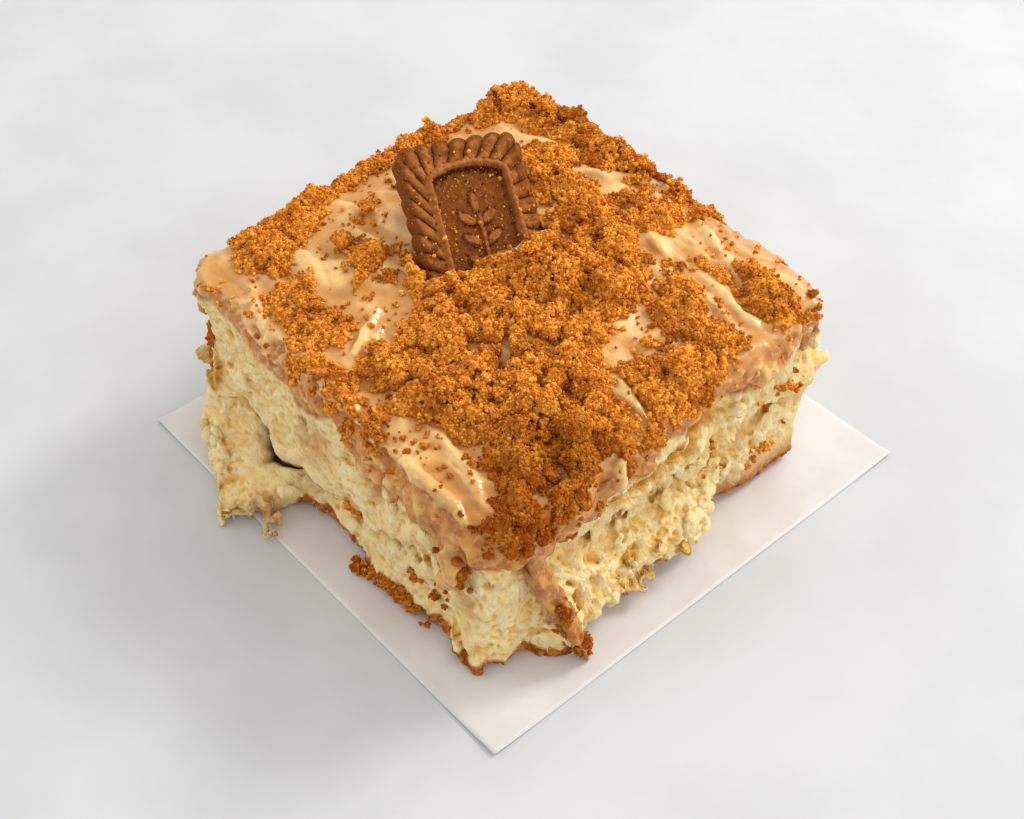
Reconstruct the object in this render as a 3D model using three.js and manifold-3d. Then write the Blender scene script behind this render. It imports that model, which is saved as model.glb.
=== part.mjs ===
// A square pull-apart cinnamon roll on a square of baking parchment. Its four sides are torn from the
// neighbouring rolls. A poured glaze covers the top, crushed biscuit lies on the glaze in drifts and
// loose lumps, and one whole biscuit leans out of the middle.
// Millimetres, +Z up. The origin is at the centre of the object's footprint, on the surface it lies on.
import * as THREE from "three";
import { mergeVertices } from "three/addons/utils/BufferGeometryUtils.js";
import Module from "manifold-3d";

const wasm = await Module();
wasm.setup();

// ---------------------------------------------------------------- driving dimensions
const ROLL = {
  centre: new THREE.Vector2(-3.5, 2.5),
  halfX: 51.5,
  halfY: 50,
  cornerPower: 22, // exponent of the superellipse outline: higher is squarer
  cornerHeight: { near: 42, right: 49.5, back: 50.5, left: 47.5 },
  dome: 4.5, // extra height at the middle of the top
};
const PAPER = { side: 127, thick: 0.5, centre: new THREE.Vector2(0, 3.5) };
const GLAZE = { thick: 1.8, edgeThick: 0.9 };
const BISCUIT = { width: 31, length: 61, thick: 6.8, rimThick: 4.6, panelDepth: 1.8 };
const GAP = 0.35; // clearance between pieces that touch
const BREAD_FLOOR = PAPER.thick + GAP; // the roll's underside

// ---------------------------------------------------------------- small helpers
const bell = (offset, width) => Math.exp(-((offset / width) ** 2));
const smooth = THREE.MathUtils.smoothstep;

// Height of a polyline of [along, height] points at a place along it, held level past its ends.
function pathHeight(points, along) {
  if (along <= points[0][0]) return points[0][1];
  for (let i = 1; i < points.length; i++) {
    const [a, za] = points[i - 1];
    const [b, zb] = points[i];
    if (along <= b) return za + ((zb - za) * (along - a)) / (b - a);
  }
  return points[points.length - 1][1];
}

// A closed surface through rings of equal length. The first and last rings shrink to single points.
function closedRings(first, rings, last) {
  const count = rings[0].length;
  const points = [first, ...rings.flat(), last];
  const at = (ring, i) => 1 + ring * count + (i % count);
  const index = [];
  for (let i = 0; i < count; i++) {
    index.push(0, at(0, i + 1), at(0, i));
    for (let r = 0; r + 1 < rings.length; r++) {
      index.push(at(r, i), at(r, i + 1), at(r + 1, i + 1));
      index.push(at(r, i), at(r + 1, i + 1), at(r + 1, i));
    }
    index.push(points.length - 1, at(rings.length - 1, i), at(rings.length - 1, i + 1));
  }
  const geometry = new THREE.BufferGeometry().setFromPoints(points);
  return geometry.setIndex(index);
}

// The same surface with every point moved out along its own normal.
function grown(geometry, distance) {
  geometry.computeVertexNormals();
  const where = geometry.getAttribute("position");
  const normal = geometry.getAttribute("normal");
  for (let i = 0; i < where.count; i++) {
    where.setXYZ(
      i,
      where.getX(i) + distance * normal.getX(i),
      where.getY(i) + distance * normal.getY(i),
      where.getZ(i) + distance * normal.getZ(i),
    );
  }
  return geometry;
}

function toSolid(geometry) {
  const bare = geometry.index ? geometry.toNonIndexed() : geometry.clone();
  const only = new THREE.BufferGeometry().setAttribute("position", bare.getAttribute("position"));
  const merged = mergeVertices(only, 1e-4);
  const mesh = new wasm.Mesh({
    numProp: 3,
    vertProperties: merged.attributes.position.array,
    triVerts: new Uint32Array(merged.index.array),
  });
  return new wasm.Manifold(mesh);
}

function toGeometry(solid) {
  const mesh = solid.getMesh();
  return new THREE.BufferGeometry()
    .setAttribute("position", new THREE.BufferAttribute(mesh.vertProperties, 3))
    .setIndex(new THREE.BufferAttribute(mesh.triVerts, 1));
}

// ---------------------------------------------------------------- the roll's own surface
// The top sags towards the near corner and swells in the middle.
function topHeight(x, y) {
  const u = THREE.MathUtils.clamp((x - ROLL.centre.x) / ROLL.halfX, -1.1, 1.1);
  const v = THREE.MathUtils.clamp((y - ROLL.centre.y) / ROLL.halfY, -1.1, 1.1);
  const c = ROLL.cornerHeight;
  const front = THREE.MathUtils.lerp(c.left, c.near, (u + 1) / 2);
  const rear = THREE.MathUtils.lerp(c.back, c.right, (u + 1) / 2);
  const dome = ROLL.dome * Math.max(0, 1 - u * u) * Math.max(0, 1 - v * v);
  return THREE.MathUtils.lerp(front, rear, (v + 1) / 2) + dome;
}

// The torn sides. "along" runs with X on the front and rear faces and with Y on the right and left ones.
const FACES = {
  front: { normal: new THREE.Vector2(0, -1), along: (p) => p.x },
  rear: { normal: new THREE.Vector2(0, 1), along: (p) => p.x },
  right: { normal: new THREE.Vector2(1, 0), along: (p) => p.y },
  left: { normal: new THREE.Vector2(-1, 0), along: (p) => p.y },
};

// Each feature pushes the wall of a face out (or in, if negative) along a line of [along, height] points,
// fading over "below" and "above" mm of height. "out" is a distance, or a line of [along, distance].
const FEATURES = [
  // front: the flap torn loose at the left foot, spread on the paper to a ragged tip
  {
    face: "front",
    line: [[-56, 2.5], [-8, 2]],
    below: 4,
    above: 6.5,
    out: [
      [-56, 2], [-52, 4], [-45, 8], [-40, 11], [-34, 13.5], [-30, 16],
      [-26.5, 20.24], [-23, 16], [-20, 6], [-17, 1.5], [-8, 0],
    ],
  },
  // the dark tear above that flap, and the swell of crumb that overhangs it
  {
    face: "front",
    line: [[-40, 16], [-34, 12], [-29, 8.5], [-5, 9.6], [10, 14.3], [26, 19]],
    below: 1.8,
    above: 1.5,
    out: -5,
  },
  {
    face: "front",
    line: [[-44, 24], [-28, 15], [-5, 16], [10, 21], [30, 27]],
    below: 3,
    above: 9,
    out: 1.8,
  },
  { face: "front", line: [[-54, 12], [-43, 12]], below: 9, above: 8, out: 3.5 },
  { face: "front", line: [[6, 1.5], [28, 1.5]], below: 2, above: 3, out: 1.8 },
  // the sharp corner at the near foot, and the left corner of the top, which stands out past its foot
  { face: "front", line: [[30, 1], [56, 1]], below: 3, above: 6, out: [[30, 0], [40, 2], [46, 3.4]] },
  { face: "front", line: [[-62, 45], [-44, 45]], below: 7, above: 14, out: [[-52, 2.4], [-44, 0]] },
  { face: "left", line: [[-56, 45], [-36, 45]], below: 7, above: 14, out: [[-46, 2.6], [-36, 0]] },
  // right: the lower lobe and its ragged lip, the long hollow over it, and the lip of the upper lobe
  {
    face: "right",
    line: [[-38, 7], [16, 7.5]],
    below: 2.6,
    above: 8,
    out: [[-38, 2], [-32, 5], [-20, 5.5], [-4, 6.2], [9, 5.6], [16, 2]],
  },
  {
    face: "right",
    line: [[-34, 22], [-15, 20.5], [10, 18.6], [31, 21], [44, 23]],
    below: 3,
    above: 4,
    out: -4.5,
  },
  {
    face: "right",
    line: [[-42, 38], [-18, 36], [0, 32], [9, 30], [24, 33], [38, 45]],
    below: 2.5,
    above: 8,
    out: 2.4,
  },
  { face: "right", line: [[17, 5], [27, 5]], below: 9, above: 8, out: -2 },
  { face: "right", line: [[-40, 0], [46, 0]], below: 3, above: 2.5, out: -1.6 },
  { face: "right", line: [[-35, 4], [-27, 3]], below: 5, above: 9, out: 4 },
  // the flap pulled out past the right corner, over a base that is set back there
  { face: "right", line: [[40, 27], [56, 28]], below: 5, above: 5, out: 2.5 },
  { face: "rear", line: [[40, 27], [56, 28]], below: 5, above: 4, out: 5.5 },
  { face: "rear", line: [[34, 4], [58, 4]], below: 9, above: 11, out: -6.5 },
  // the two faces behind: an upper and a lower swell with a tear between them
  { face: "rear", line: [[-52, 36], [-20, 33], [40, 35]], below: 5, above: 8, out: 2.4 },
  { face: "rear", line: [[-50, 24], [0, 20], [42, 22]], below: 2.6, above: 3, out: -4.5 },
  { face: "rear", line: [[-40, 8], [28, 9]], below: 5, above: 7, out: 3.8 },
  { face: "left", line: [[-40, 36], [15, 34], [50, 37]], below: 5, above: 8, out: 2 },
  { face: "left", line: [[-38, 19], [0, 22], [46, 20]], below: 2.4, above: 2.8, out: -4.5 },
  { face: "left", line: [[-48, 9], [24, 10]], below: 5, above: 7, out: 3.4 },
];

function sideShift(point, normal, z) {
  let out = 0;
  for (const f of FEATURES) {
    const along = FACES[f.face].along(point);
    const start = f.line[0][0];
    const end = f.line[f.line.length - 1][0];
    const ends = smooth(along, start - 3, start + 3) * (1 - smooth(along, end - 3, end + 3));
    const over = z - pathHeight(f.line, along);
    const size = typeof f.out === "number" ? f.out : pathHeight(f.out, along);
    const share = smooth(normal.dot(FACES[f.face].normal), 0.3, 0.85);
    out += size * ends * share * bell(over, over < 0 ? f.below : f.above);
  }
  return out;
}

// Plan outline: a superellipse, with places spaced evenly along each side.
function outlinePlace(turn) {
  const side = Math.floor(turn * 4);
  const across = (turn * 4 - side) * 2 - 1;
  const angle = ((side + 0.5) * Math.PI) / 2 + Math.atan(across);
  const n = ROLL.cornerPower;
  const c = Math.cos(angle);
  const s = Math.sin(angle);
  const r = (Math.abs(c) ** n + Math.abs(s) ** n) ** (-1 / n);
  const slope = (v) => Math.sign(v) * Math.abs(v * r) ** (n - 1);
  return {
    place: new THREE.Vector2(ROLL.halfX * r * c, ROLL.halfY * r * s),
    normal: new THREE.Vector2(slope(c) / ROLL.halfX, slope(s) / ROLL.halfY).normalize(),
  };
}

// A point of the bread's skin: at a turn round the outline, at a share of the plan size and a share of
// the height under the top there, pushed out by the side's features and then by a skin's offset.
function skinPoint(turn, share, rise, offset = 0) {
  const { place, normal } = outlinePlace(turn);
  const flat = place.clone().multiplyScalar(share).add(ROLL.centre);
  const z = BREAD_FLOOR + rise * (topHeight(flat.x, flat.y) - BREAD_FLOOR);
  const wall = smooth(share, 0.86, 0.99);
  flat.addScaledVector(normal, wall * sideShift(flat, normal, z));
  const lean = smooth(share, 0.8, 1) * (1 - smooth(rise, 0.9, 1) * 0.5);
  const up = Math.sqrt(Math.max(0, 1 - lean * lean));
  flat.addScaledVector(normal, offset * lean);
  return new THREE.Vector3(flat.x, flat.y, z + offset * up);
}

const TURNS = 112;
const ringAt = (share, rise, offset) =>
  Array.from({ length: TURNS }, (_, i) => skinPoint((i + 0.5) / TURNS, share, rise, offset));

// The bread's closed skin, moved outwards everywhere by "grow".
function breadSkin(grow = 0) {
  const stations = [[0.55, 0], [0.9, 0], [0.97, 0]];
  for (let i = 0; i < 16; i++) {
    stations.push([1, 0.035 + 0.835 * (i / 15) ** 1.15]);
  }
  stations.push([0.998, 0.93], [0.98, 0.975], [0.945, 1], [0.6, 1], [0.3, 1]);
  const rings = stations.map(([share, rise]) => ringAt(share, rise));
  const { x, y } = ROLL.centre;
  const floor = new THREE.Vector3(x, y, BREAD_FLOOR);
  return grown(closedRings(floor, rings, new THREE.Vector3(x, y, topHeight(x, y))), grow);
}

// ---------------------------------------------------------------- the glaze coat
// How far the glaze runs down at each turn, as a share of the roll's height: 1 is level with the top.
const DRIPS = [
  { turn: 0.875, half: 0.035, run: 0.27 }, // the heavy tongue at the near corner
  { turn: 0.8, half: 0.02, run: 0.16 },
  { turn: 0.71, half: 0.03, run: 0.1 },
  { turn: 0.6, half: 0.008, run: 0.14 }, // the spike at the left corner
  { turn: 0.965, half: 0.012, run: 0.12 },
  { turn: 0.09, half: 0.015, run: 0.1 },
  { turn: 0.3, half: 0.03, run: 0.12 },
  { turn: 0.45, half: 0.02, run: 0.14 },
];
function glazeEdge(turn) {
  let run = 0.1 + 0.02 * Math.sin(turn * 2 * Math.PI * 9) + 0.015 * Math.sin(turn * 2 * Math.PI * 17);
  for (const d of DRIPS) {
    const apart = Math.abs(((turn - d.turn + 1.5) % 1) - 0.5);
    run += d.run * bell(apart, d.half);
  }
  return 1 - run;
}

function glazeRing(level, offset) {
  // level 0 is the drip edge, 1 where the side meets the top
  return Array.from({ length: TURNS }, (_, i) => {
    const turn = (i + 0.5) / TURNS;
    const rise = THREE.MathUtils.lerp(glazeEdge(turn), 0.98, level);
    const share = 1 - 0.02 * smooth(rise, 0.9, 0.985);
    return skinPoint(turn, share, rise, offset);
  });
}

// The poured blob of glaze, up from inside the bread, with the bread (and its gap) taken out of it.
function makeGlaze(grow = 0) {
  const { x, y } = ROLL.centre;
  const edge = GAP + GLAZE.edgeThick;
  const outer = GAP + GLAZE.thick;
  const rings = [
    ringAt(0.6, 0.8),
    glazeRing(0, -2),
    glazeRing(0, edge),
    glazeRing(0.35, edge + 0.3),
    glazeRing(0.7, edge + 0.5),
    ringAt(0.97, 0.985, outer),
    ringAt(0.93, 1, outer),
    ringAt(0.6, 1, outer),
    ringAt(0.3, 1, outer),
  ];
  const low = new THREE.Vector3(x, y, topHeight(x, y) * 0.8);
  const blob = closedRings(low, rings, new THREE.Vector3(x, y, topHeight(x, y) + outer));
  return toSolid(grown(blob, grow));
}

// ---------------------------------------------------------------- the biscuit
const RIM = {
  flutesAcross: 7,
  flutesAlong: 13,
  fluteDepth: 0.9,
  corner: 4.2,
  width: 5.2,
  ridge: 1.5,
  arch: 2.2,
};

// Outline places of a rounded rectangle, as [x, y, how far round], evenly spaced over its length.
function roundedRectangle(halfX, halfY, corner, count) {
  const shape = new THREE.Shape();
  shape.moveTo(halfX, -halfY + corner);
  shape.lineTo(halfX, halfY - corner);
  shape.absarc(halfX - corner, halfY - corner, corner, 0, Math.PI / 2, false);
  shape.lineTo(-halfX + corner, halfY);
  shape.absarc(-halfX + corner, halfY - corner, corner, Math.PI / 2, Math.PI, false);
  shape.lineTo(-halfX, -halfY + corner);
  shape.absarc(-halfX + corner, -halfY + corner, corner, Math.PI, 1.5 * Math.PI, false);
  shape.lineTo(halfX - corner, -halfY);
  shape.absarc(halfX - corner, -halfY + corner, corner, 1.5 * Math.PI, 2 * Math.PI, false);
  return shape.getSpacedPoints(count).slice(0, count);
}

function flutedOutline(count, inset) {
  const flutes = 2 * (RIM.flutesAcross + RIM.flutesAlong);
  const plain = roundedRectangle(BISCUIT.width / 2 - inset, BISCUIT.length / 2 - inset, RIM.corner, count);
  return plain.map((p, i) => {
    const wave = Math.abs(Math.sin((Math.PI * flutes * i) / count));
    const shrink = RIM.fluteDepth * (1 - wave);
    const length = p.length();
    return p.clone().multiplyScalar((length - shrink) / length);
  });
}

function panelOutline(count, inset) {
  const halfX = BISCUIT.width / 2 - inset;
  const halfY = BISCUIT.length / 2 - inset - RIM.arch;
  return roundedRectangle(halfX, halfY, 1.6, count).map((p) => {
    const arch = RIM.arch * (1 - (p.x / halfX) ** 2);
    return new THREE.Vector2(p.x, p.y + Math.sign(p.y) * arch * smooth(Math.abs(p.y), halfY * 0.6, halfY));
  });
}

// The biscuit lies in its own frame: X across, Y along its length, Z out of its printed face.
function makeBiscuit() {
  const count = 120;
  const half = BISCUIT.thick / 2;
  const raise = (outline, z) => outline.map((p) => new THREE.Vector3(p.x, p.y, z));
  const floor = half - BISCUIT.panelDepth;
  const rings = [
    raise(flutedOutline(count, 1.2), -half),
    raise(flutedOutline(count, 0.2), -half + 1),
    raise(flutedOutline(count, 0), -half + BISCUIT.rimThick * 0.6),
    raise(flutedOutline(count, 0.7), -half + BISCUIT.rimThick),
    raise(panelOutline(count, RIM.width), half - 0.5),
    raise(panelOutline(count, RIM.width + 0.4), half),
    raise(panelOutline(count, RIM.width + RIM.ridge - 0.3), half),
    raise(panelOutline(count, RIM.width + RIM.ridge), floor),
  ];
  return closedRings(new THREE.Vector3(0, 0, -half), rings, new THREE.Vector3(0, 0, floor));
}

// It leans back out of the glaze, its lower end pushed into the bread.
const BISCUIT_PLACE = new THREE.Vector3(-7.6, 0.1, 49.0);
const BISCUIT_ACROSS = new THREE.Vector3(0.277, 0.953, -0.121);
const BISCUIT_ALONG = new THREE.Vector3(-0.728, 0.291, 0.621);
function biscuitMatrix() {
  const across = BISCUIT_ACROSS.clone().normalize();
  const out = across.clone().cross(BISCUIT_ALONG).normalize();
  const along = out.clone().cross(across);
  return new THREE.Matrix4().makeBasis(across, along, out).setPosition(BISCUIT_PLACE);
}

// The slot that the biscuit has pressed into the bread and the glaze: its own outline plus the gap.
function biscuitSlot() {
  const clear = GAP + 0.15;
  const outline = roundedRectangle(BISCUIT.width / 2 + clear, BISCUIT.length / 2 + clear, RIM.corner, 60);
  const depth = BISCUIT.thick + 2 * clear;
  const block = new THREE.ExtrudeGeometry(new THREE.Shape(outline), { depth, bevelEnabled: false });
  block.translate(0, 0, -depth / 2);
  return toSolid(block.applyMatrix4(biscuitMatrix()));
}

// ---------------------------------------------------------------- the biscuit crumbs
// Drifts of crumb lie on the glaze. Each is an oval heap: centre, half lengths, turn and height.
const DRIFTS = {
  crumb_drift_middle: { at: [13, -21], half: [20, 13], turn: -8, height: 4.2 },
  crumb_drift_near_corner: { at: [43, -28], half: [6.5, 13], turn: 8, height: 3.6 },
  crumb_drift_by_biscuit: { at: [13, 12], half: [11, 12], turn: 20, height: 4.8 },
  crumb_drift_right_edge: { at: [41, 5], half: [5.5, 15], turn: 0, height: 3 },
  crumb_drift_right_corner: { at: [27, 40], half: [17, 6.5], turn: 5, height: 3.6 },
  crumb_drift_front_edge: { at: [0, -43.5], half: [19, 2.6], turn: 0, height: 2.4 },
  crumb_drift_left_patch: { at: [-32, -36], half: [11, 4.8], turn: 5, height: 2.6 },
  crumb_drift_left_edge: { at: [-50, -3], half: [3.4, 32], turn: 0, height: 4.6 },
  crumb_drift_back_corner: { at: [-44, 43], half: [8, 5], turn: 10, height: 5.2 },
  crumb_drift_rear_edge: { at: [-9, 47], half: [18, 3.2], turn: 0, height: 3.8 },
  crumb_drift_behind_biscuit: { at: [-22, 34], half: [5, 7], turn: -15, height: 3 },
};
const glazeTop = (x, y) => topHeight(x, y) + GAP + GLAZE.thick;

function makeDrift({ at, half, turn, height }) {
  const count = 16;
  const spin = THREE.MathUtils.degToRad(turn);
  const sunk = -4; // the heap's blank starts inside the glaze, which is then taken out of it
  const place = (share, angle, lift) => {
    const ragged = 1 + 0.1 * Math.sin(3 * angle + at[0]) + 0.07 * Math.sin(5 * angle + at[1]);
    const flat = new THREE.Vector2(Math.cos(angle) * half[0], Math.sin(angle) * half[1]);
    flat.multiplyScalar(share * ragged).rotateAround(new THREE.Vector2(), spin);
    flat.add(new THREE.Vector2(...at));
    return new THREE.Vector3(flat.x, flat.y, glazeTop(flat.x, flat.y) + lift);
  };
  const ring = (share, lift) =>
    Array.from({ length: count }, (_, i) => place(share, (i / count) * 2 * Math.PI, lift));
  const rings = [
    ring(1, sunk),
    ring(1, GAP + 0.5),
    ring(0.88, GAP + height * 0.45),
    ring(0.62, GAP + height * 0.8),
    ring(0.3, GAP + height * 0.97),
  ];
  return closedRings(place(0, 0, sunk), rings, place(0, 0, GAP + height));
}

// Loose lumps of crumb, each a rough pebble: [x, y, radius]. They sit on the glaze between the drifts.
const LUMPS = [
  [-34, -20, 2.3], [-40, -8, 1.9], [-33, 3, 1.8], [-22, -24, 1.7], [-38, 15, 2], [-36, 29, 1.9],
  [-5, 31, 2.2], [9, 28, 2], [33, 24, 2.2], [31, -8, 2],
];
function makeLump([x, y, radius], index) {
  const lump = new THREE.IcosahedronGeometry(radius, 1);
  const where = lump.getAttribute("position");
  const point = new THREE.Vector3();
  for (let i = 0; i < where.count; i++) {
    point.fromBufferAttribute(where, i);
    const rough = 0.12 * Math.sin(2.3 * point.x + index) * Math.cos(2.9 * point.y - index);
    point.multiplyScalar(1 + rough).setZ(point.z * 0.8);
    where.setXYZ(i, point.x, point.y, point.z);
  }
  lump.deleteAttribute("normal");
  lump.deleteAttribute("uv");
  return lump.translate(x, y, glazeTop(x, y) + GAP + radius);
}

// ---------------------------------------------------------------- the parchment
function makeParchment() {
  const sheet = new THREE.BoxGeometry(PAPER.side, PAPER.side, PAPER.thick);
  return sheet.translate(PAPER.centre.x, PAPER.centre.y, PAPER.thick / 2);
}

// ---------------------------------------------------------------- finishes and assembly
const finish = (color, roughness) => new THREE.MeshStandardMaterial({ color, roughness, metalness: 0 });
const CRUMB_OF_BREAD = finish("#efdca0", 0.9);
const GLAZE_FINISH = finish("#cf9f68", 0.25);
const BISCUIT_FINISH = finish("#8d5428", 0.8);
const CRUSHED_BISCUIT = finish("#c87a26", 0.9);
const PARCHMENT_FINISH = finish("#eeece8", 0.5);

const roll = new THREE.Group();
function add(name, geometry, material) {
  const mesh = new THREE.Mesh(geometry, material);
  mesh.name = name;
  roll.add(mesh);
  return mesh;
}

const slot = biscuitSlot();
const bread = toSolid(breadSkin());
const breadAndGap = toSolid(breadSkin(GAP));
const glazeAndGap = makeGlaze(GAP).add(breadAndGap);
add("parchment", makeParchment(), PARCHMENT_FINISH);
add("bread_roll", toGeometry(bread.subtract(slot)), CRUMB_OF_BREAD);
add("glaze_coat", toGeometry(makeGlaze().subtract(breadAndGap).subtract(slot)), GLAZE_FINISH);
add("biscuit", makeBiscuit(), BISCUIT_FINISH).applyMatrix4(biscuitMatrix());
for (const [name, drift] of Object.entries(DRIFTS)) {
  const heap = toSolid(makeDrift(drift)).subtract(glazeAndGap).subtract(slot);
  add(name, toGeometry(heap), CRUSHED_BISCUIT);
}
LUMPS.forEach((lump, i) => add(`crumb_lump_${i + 1}`, makeLump(lump, i), CRUSHED_BISCUIT));

export default roll;
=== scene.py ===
# %% [markdown]
# # A glazed, torn cinnamon roll
# The real thing is one square cut out of a tray of rolls that baked into each other. Its four sides are
# torn crumb, its top is crust under poured glaze, and crushed biscuit is strewn over the glaze while it
# is wet. A whole biscuit is pushed into the middle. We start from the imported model, which fixes every
# size and place, and give each of its nodes a finished piece.
# %% Load the frame
import math
from itertools import product

import bpy
import numpy as np
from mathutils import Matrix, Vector
from mathutils.bvhtree import BVHTree


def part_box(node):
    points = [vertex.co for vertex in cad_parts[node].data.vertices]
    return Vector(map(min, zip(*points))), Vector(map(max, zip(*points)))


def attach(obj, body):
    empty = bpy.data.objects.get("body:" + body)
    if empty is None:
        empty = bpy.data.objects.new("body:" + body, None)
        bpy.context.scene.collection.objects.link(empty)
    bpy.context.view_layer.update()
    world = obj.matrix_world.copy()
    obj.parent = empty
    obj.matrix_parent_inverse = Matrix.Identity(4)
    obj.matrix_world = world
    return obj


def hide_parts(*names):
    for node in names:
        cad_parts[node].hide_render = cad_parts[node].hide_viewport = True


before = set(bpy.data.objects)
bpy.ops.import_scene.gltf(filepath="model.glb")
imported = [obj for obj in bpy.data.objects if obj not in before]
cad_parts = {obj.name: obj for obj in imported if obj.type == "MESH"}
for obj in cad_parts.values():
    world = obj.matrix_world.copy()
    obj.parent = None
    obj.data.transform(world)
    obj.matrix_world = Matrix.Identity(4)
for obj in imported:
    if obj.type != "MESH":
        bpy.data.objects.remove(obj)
bpy.context.view_layer.update()

# %% [markdown]
# ## Working in millimetres
# Food is full of small shapes, so the arithmetic below is in millimetres, as rows of numbers, and only the
# last step of making a mesh turns it into Blender's metres. Writing whole arrays at once is what makes a
# hundred thousand points quick.
# %% Mesh helpers
MM = 0.001


def build_piece(name, points, faces):
    """A mesh object from points in millimetres and faces that all have the same number of corners."""
    mesh = bpy.data.meshes.new(name)
    mesh.vertices.add(len(points))
    mesh.vertices.foreach_set("co", (np.asarray(points, float) * MM).ravel())
    mesh.loops.add(faces.size)
    mesh.loops.foreach_set("vertex_index", np.asarray(faces, np.int32).ravel())
    mesh.polygons.add(len(faces))
    mesh.polygons.foreach_set("loop_start", np.arange(0, faces.size, faces.shape[1], dtype=np.int32))
    mesh.update(calc_edges=True)
    piece = bpy.data.objects.new(name, mesh)
    bpy.context.scene.collection.objects.link(piece)
    return piece


def points_of(piece):
    rows = np.empty(len(piece.data.vertices) * 3)
    piece.data.vertices.foreach_get("co", rows)
    return rows.reshape(-1, 3) / MM


def normals_of(piece):
    rows = np.empty(len(piece.data.vertices) * 3, np.float32)
    piece.data.vertex_normals.foreach_get("vector", rows)
    return rows.reshape(-1, 3).astype(float)


def move_points(piece, points):
    piece.data.vertices.foreach_set("co", (points * MM).ravel())
    piece.data.update()


def edges_of(piece):
    rows = np.empty(len(piece.data.edges) * 2, np.int32)
    piece.data.edges.foreach_get("vertices", rows)
    return rows.reshape(-1, 2)


def store(piece, name, values):
    """Keeps one number per point on the mesh, for its material to read."""
    layer = piece.data.attributes.new(name, "FLOAT", "POINT")
    layer.data.foreach_set("value", np.asarray(values, np.float32))


def tree_of(points, faces):
    """A search tree of faces, in millimetres, for finding what lies under a point or nearest to it."""
    return BVHTree.FromPolygons([tuple(p) for p in points], [tuple(f) for f in faces])


def skin_tree(piece):
    return tree_of(points_of(piece), [face.vertices for face in piece.data.polygons])


def onto(tree, places):
    """The nearest places on a skin, and the way that it faces at each."""
    found = [tree.find_nearest(Vector(p))[:2] for p in places]
    return (np.array([tuple(pair[k]) for pair in found]) for k in (0, 1))


def box_of(name):
    """The low and high corners of a CAD node's box, in millimetres."""
    return [np.array(corner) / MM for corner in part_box(name)]


def fused(piece, cell):
    """Melts the piece into one skin of small even faces, cell millimetres across."""
    skin = piece.modifiers.new("melt", "REMESH")
    skin.mode = "VOXEL"
    skin.voxel_size = cell * MM
    skin.use_smooth_shade = True
    graph = bpy.context.evaluated_depsgraph_get()
    mesh = bpy.data.meshes.new_from_object(piece.evaluated_get(graph))
    piece.modifiers.clear()
    old, piece.data = piece.data, mesh
    bpy.data.meshes.remove(old)
    piece.data.materials.clear()


def with_grit(piece, points, triangles):
    """The melted piece with many small hard-edged bodies added to the same mesh."""
    corners = np.empty(len(piece.data.loops), np.int32)
    piece.data.loops.foreach_get("vertex_index", corners)
    quads = corners.reshape(-1, 4)
    soft = np.concatenate([quads[:, [0, 1, 2]], quads[:, [0, 2, 3]]])
    whole = build_piece(piece.name + "_gritty", np.concatenate([points_of(piece), points]),
                        np.concatenate([soft, triangles + len(piece.data.vertices)]))
    whole.data.polygons.foreach_set("use_smooth", np.arange(len(whole.data.polygons)) < len(soft))
    name = piece.name
    bpy.data.objects.remove(piece)
    whole.name = name
    return whole


def smoothed(values, edges, rounds, share=0.5):
    """Each point's value moved towards the mean of its neighbours, several times."""
    values = np.array(values, float)
    flat = values.ndim == 1
    rows = values[:, None] if flat else values
    ends = np.concatenate([edges[:, 0], edges[:, 1]])
    others = np.concatenate([edges[:, 1], edges[:, 0]])
    count = np.maximum(np.bincount(ends, minlength=len(rows)), 1)
    for _ in range(rounds):
        columns = [np.bincount(ends, weights=column, minlength=len(rows)) for column in rows[others].T]
        rows = (1 - share) * rows + share * np.stack(columns, 1) / count[:, None]
    return rows[:, 0] if flat else rows


def hollowness(piece, reach):
    """Above 0 in hollows and below 0 on crests: how far the smoothed skin lies outside the real one."""
    points = points_of(piece)
    return ((smoothed(points, edges_of(piece), reach) - points) * normals_of(piece)).sum(1)


def unit(rows, least=1e-9):
    """Rows scaled to length 1, except those already shorter than the least."""
    return rows / np.maximum(np.linalg.norm(rows, axis=1, keepdims=True), least)


def away_from(points, at):
    """Distance of each point from one place."""
    return np.linalg.norm(points - np.array(at), axis=1)


def step(values, low, high):
    """0 below low, 1 above high, and smooth in between."""
    t = np.clip((np.asarray(values, float) - low) / (high - low), 0, 1)
    return t * t * (3 - 2 * t)


def fade(values, low, high):
    """1 below low, 0 above high, and smooth in between."""
    return 1 - step(values, low, high)


print("a millimetre is", MM, "of Blender's units")

# %% [markdown]
# ## Two kinds of unevenness
# Bread, icing and crumbs are all irregular, at several scales at once. Lattice noise gives smooth swells
# and, folded about zero, sharp crests like torn flakes. Cell noise gives the distance to scattered points,
# which makes round bubbles. Both are worked out on the points themselves, so that they become real shape.
# %% Noise for shapes


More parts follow.
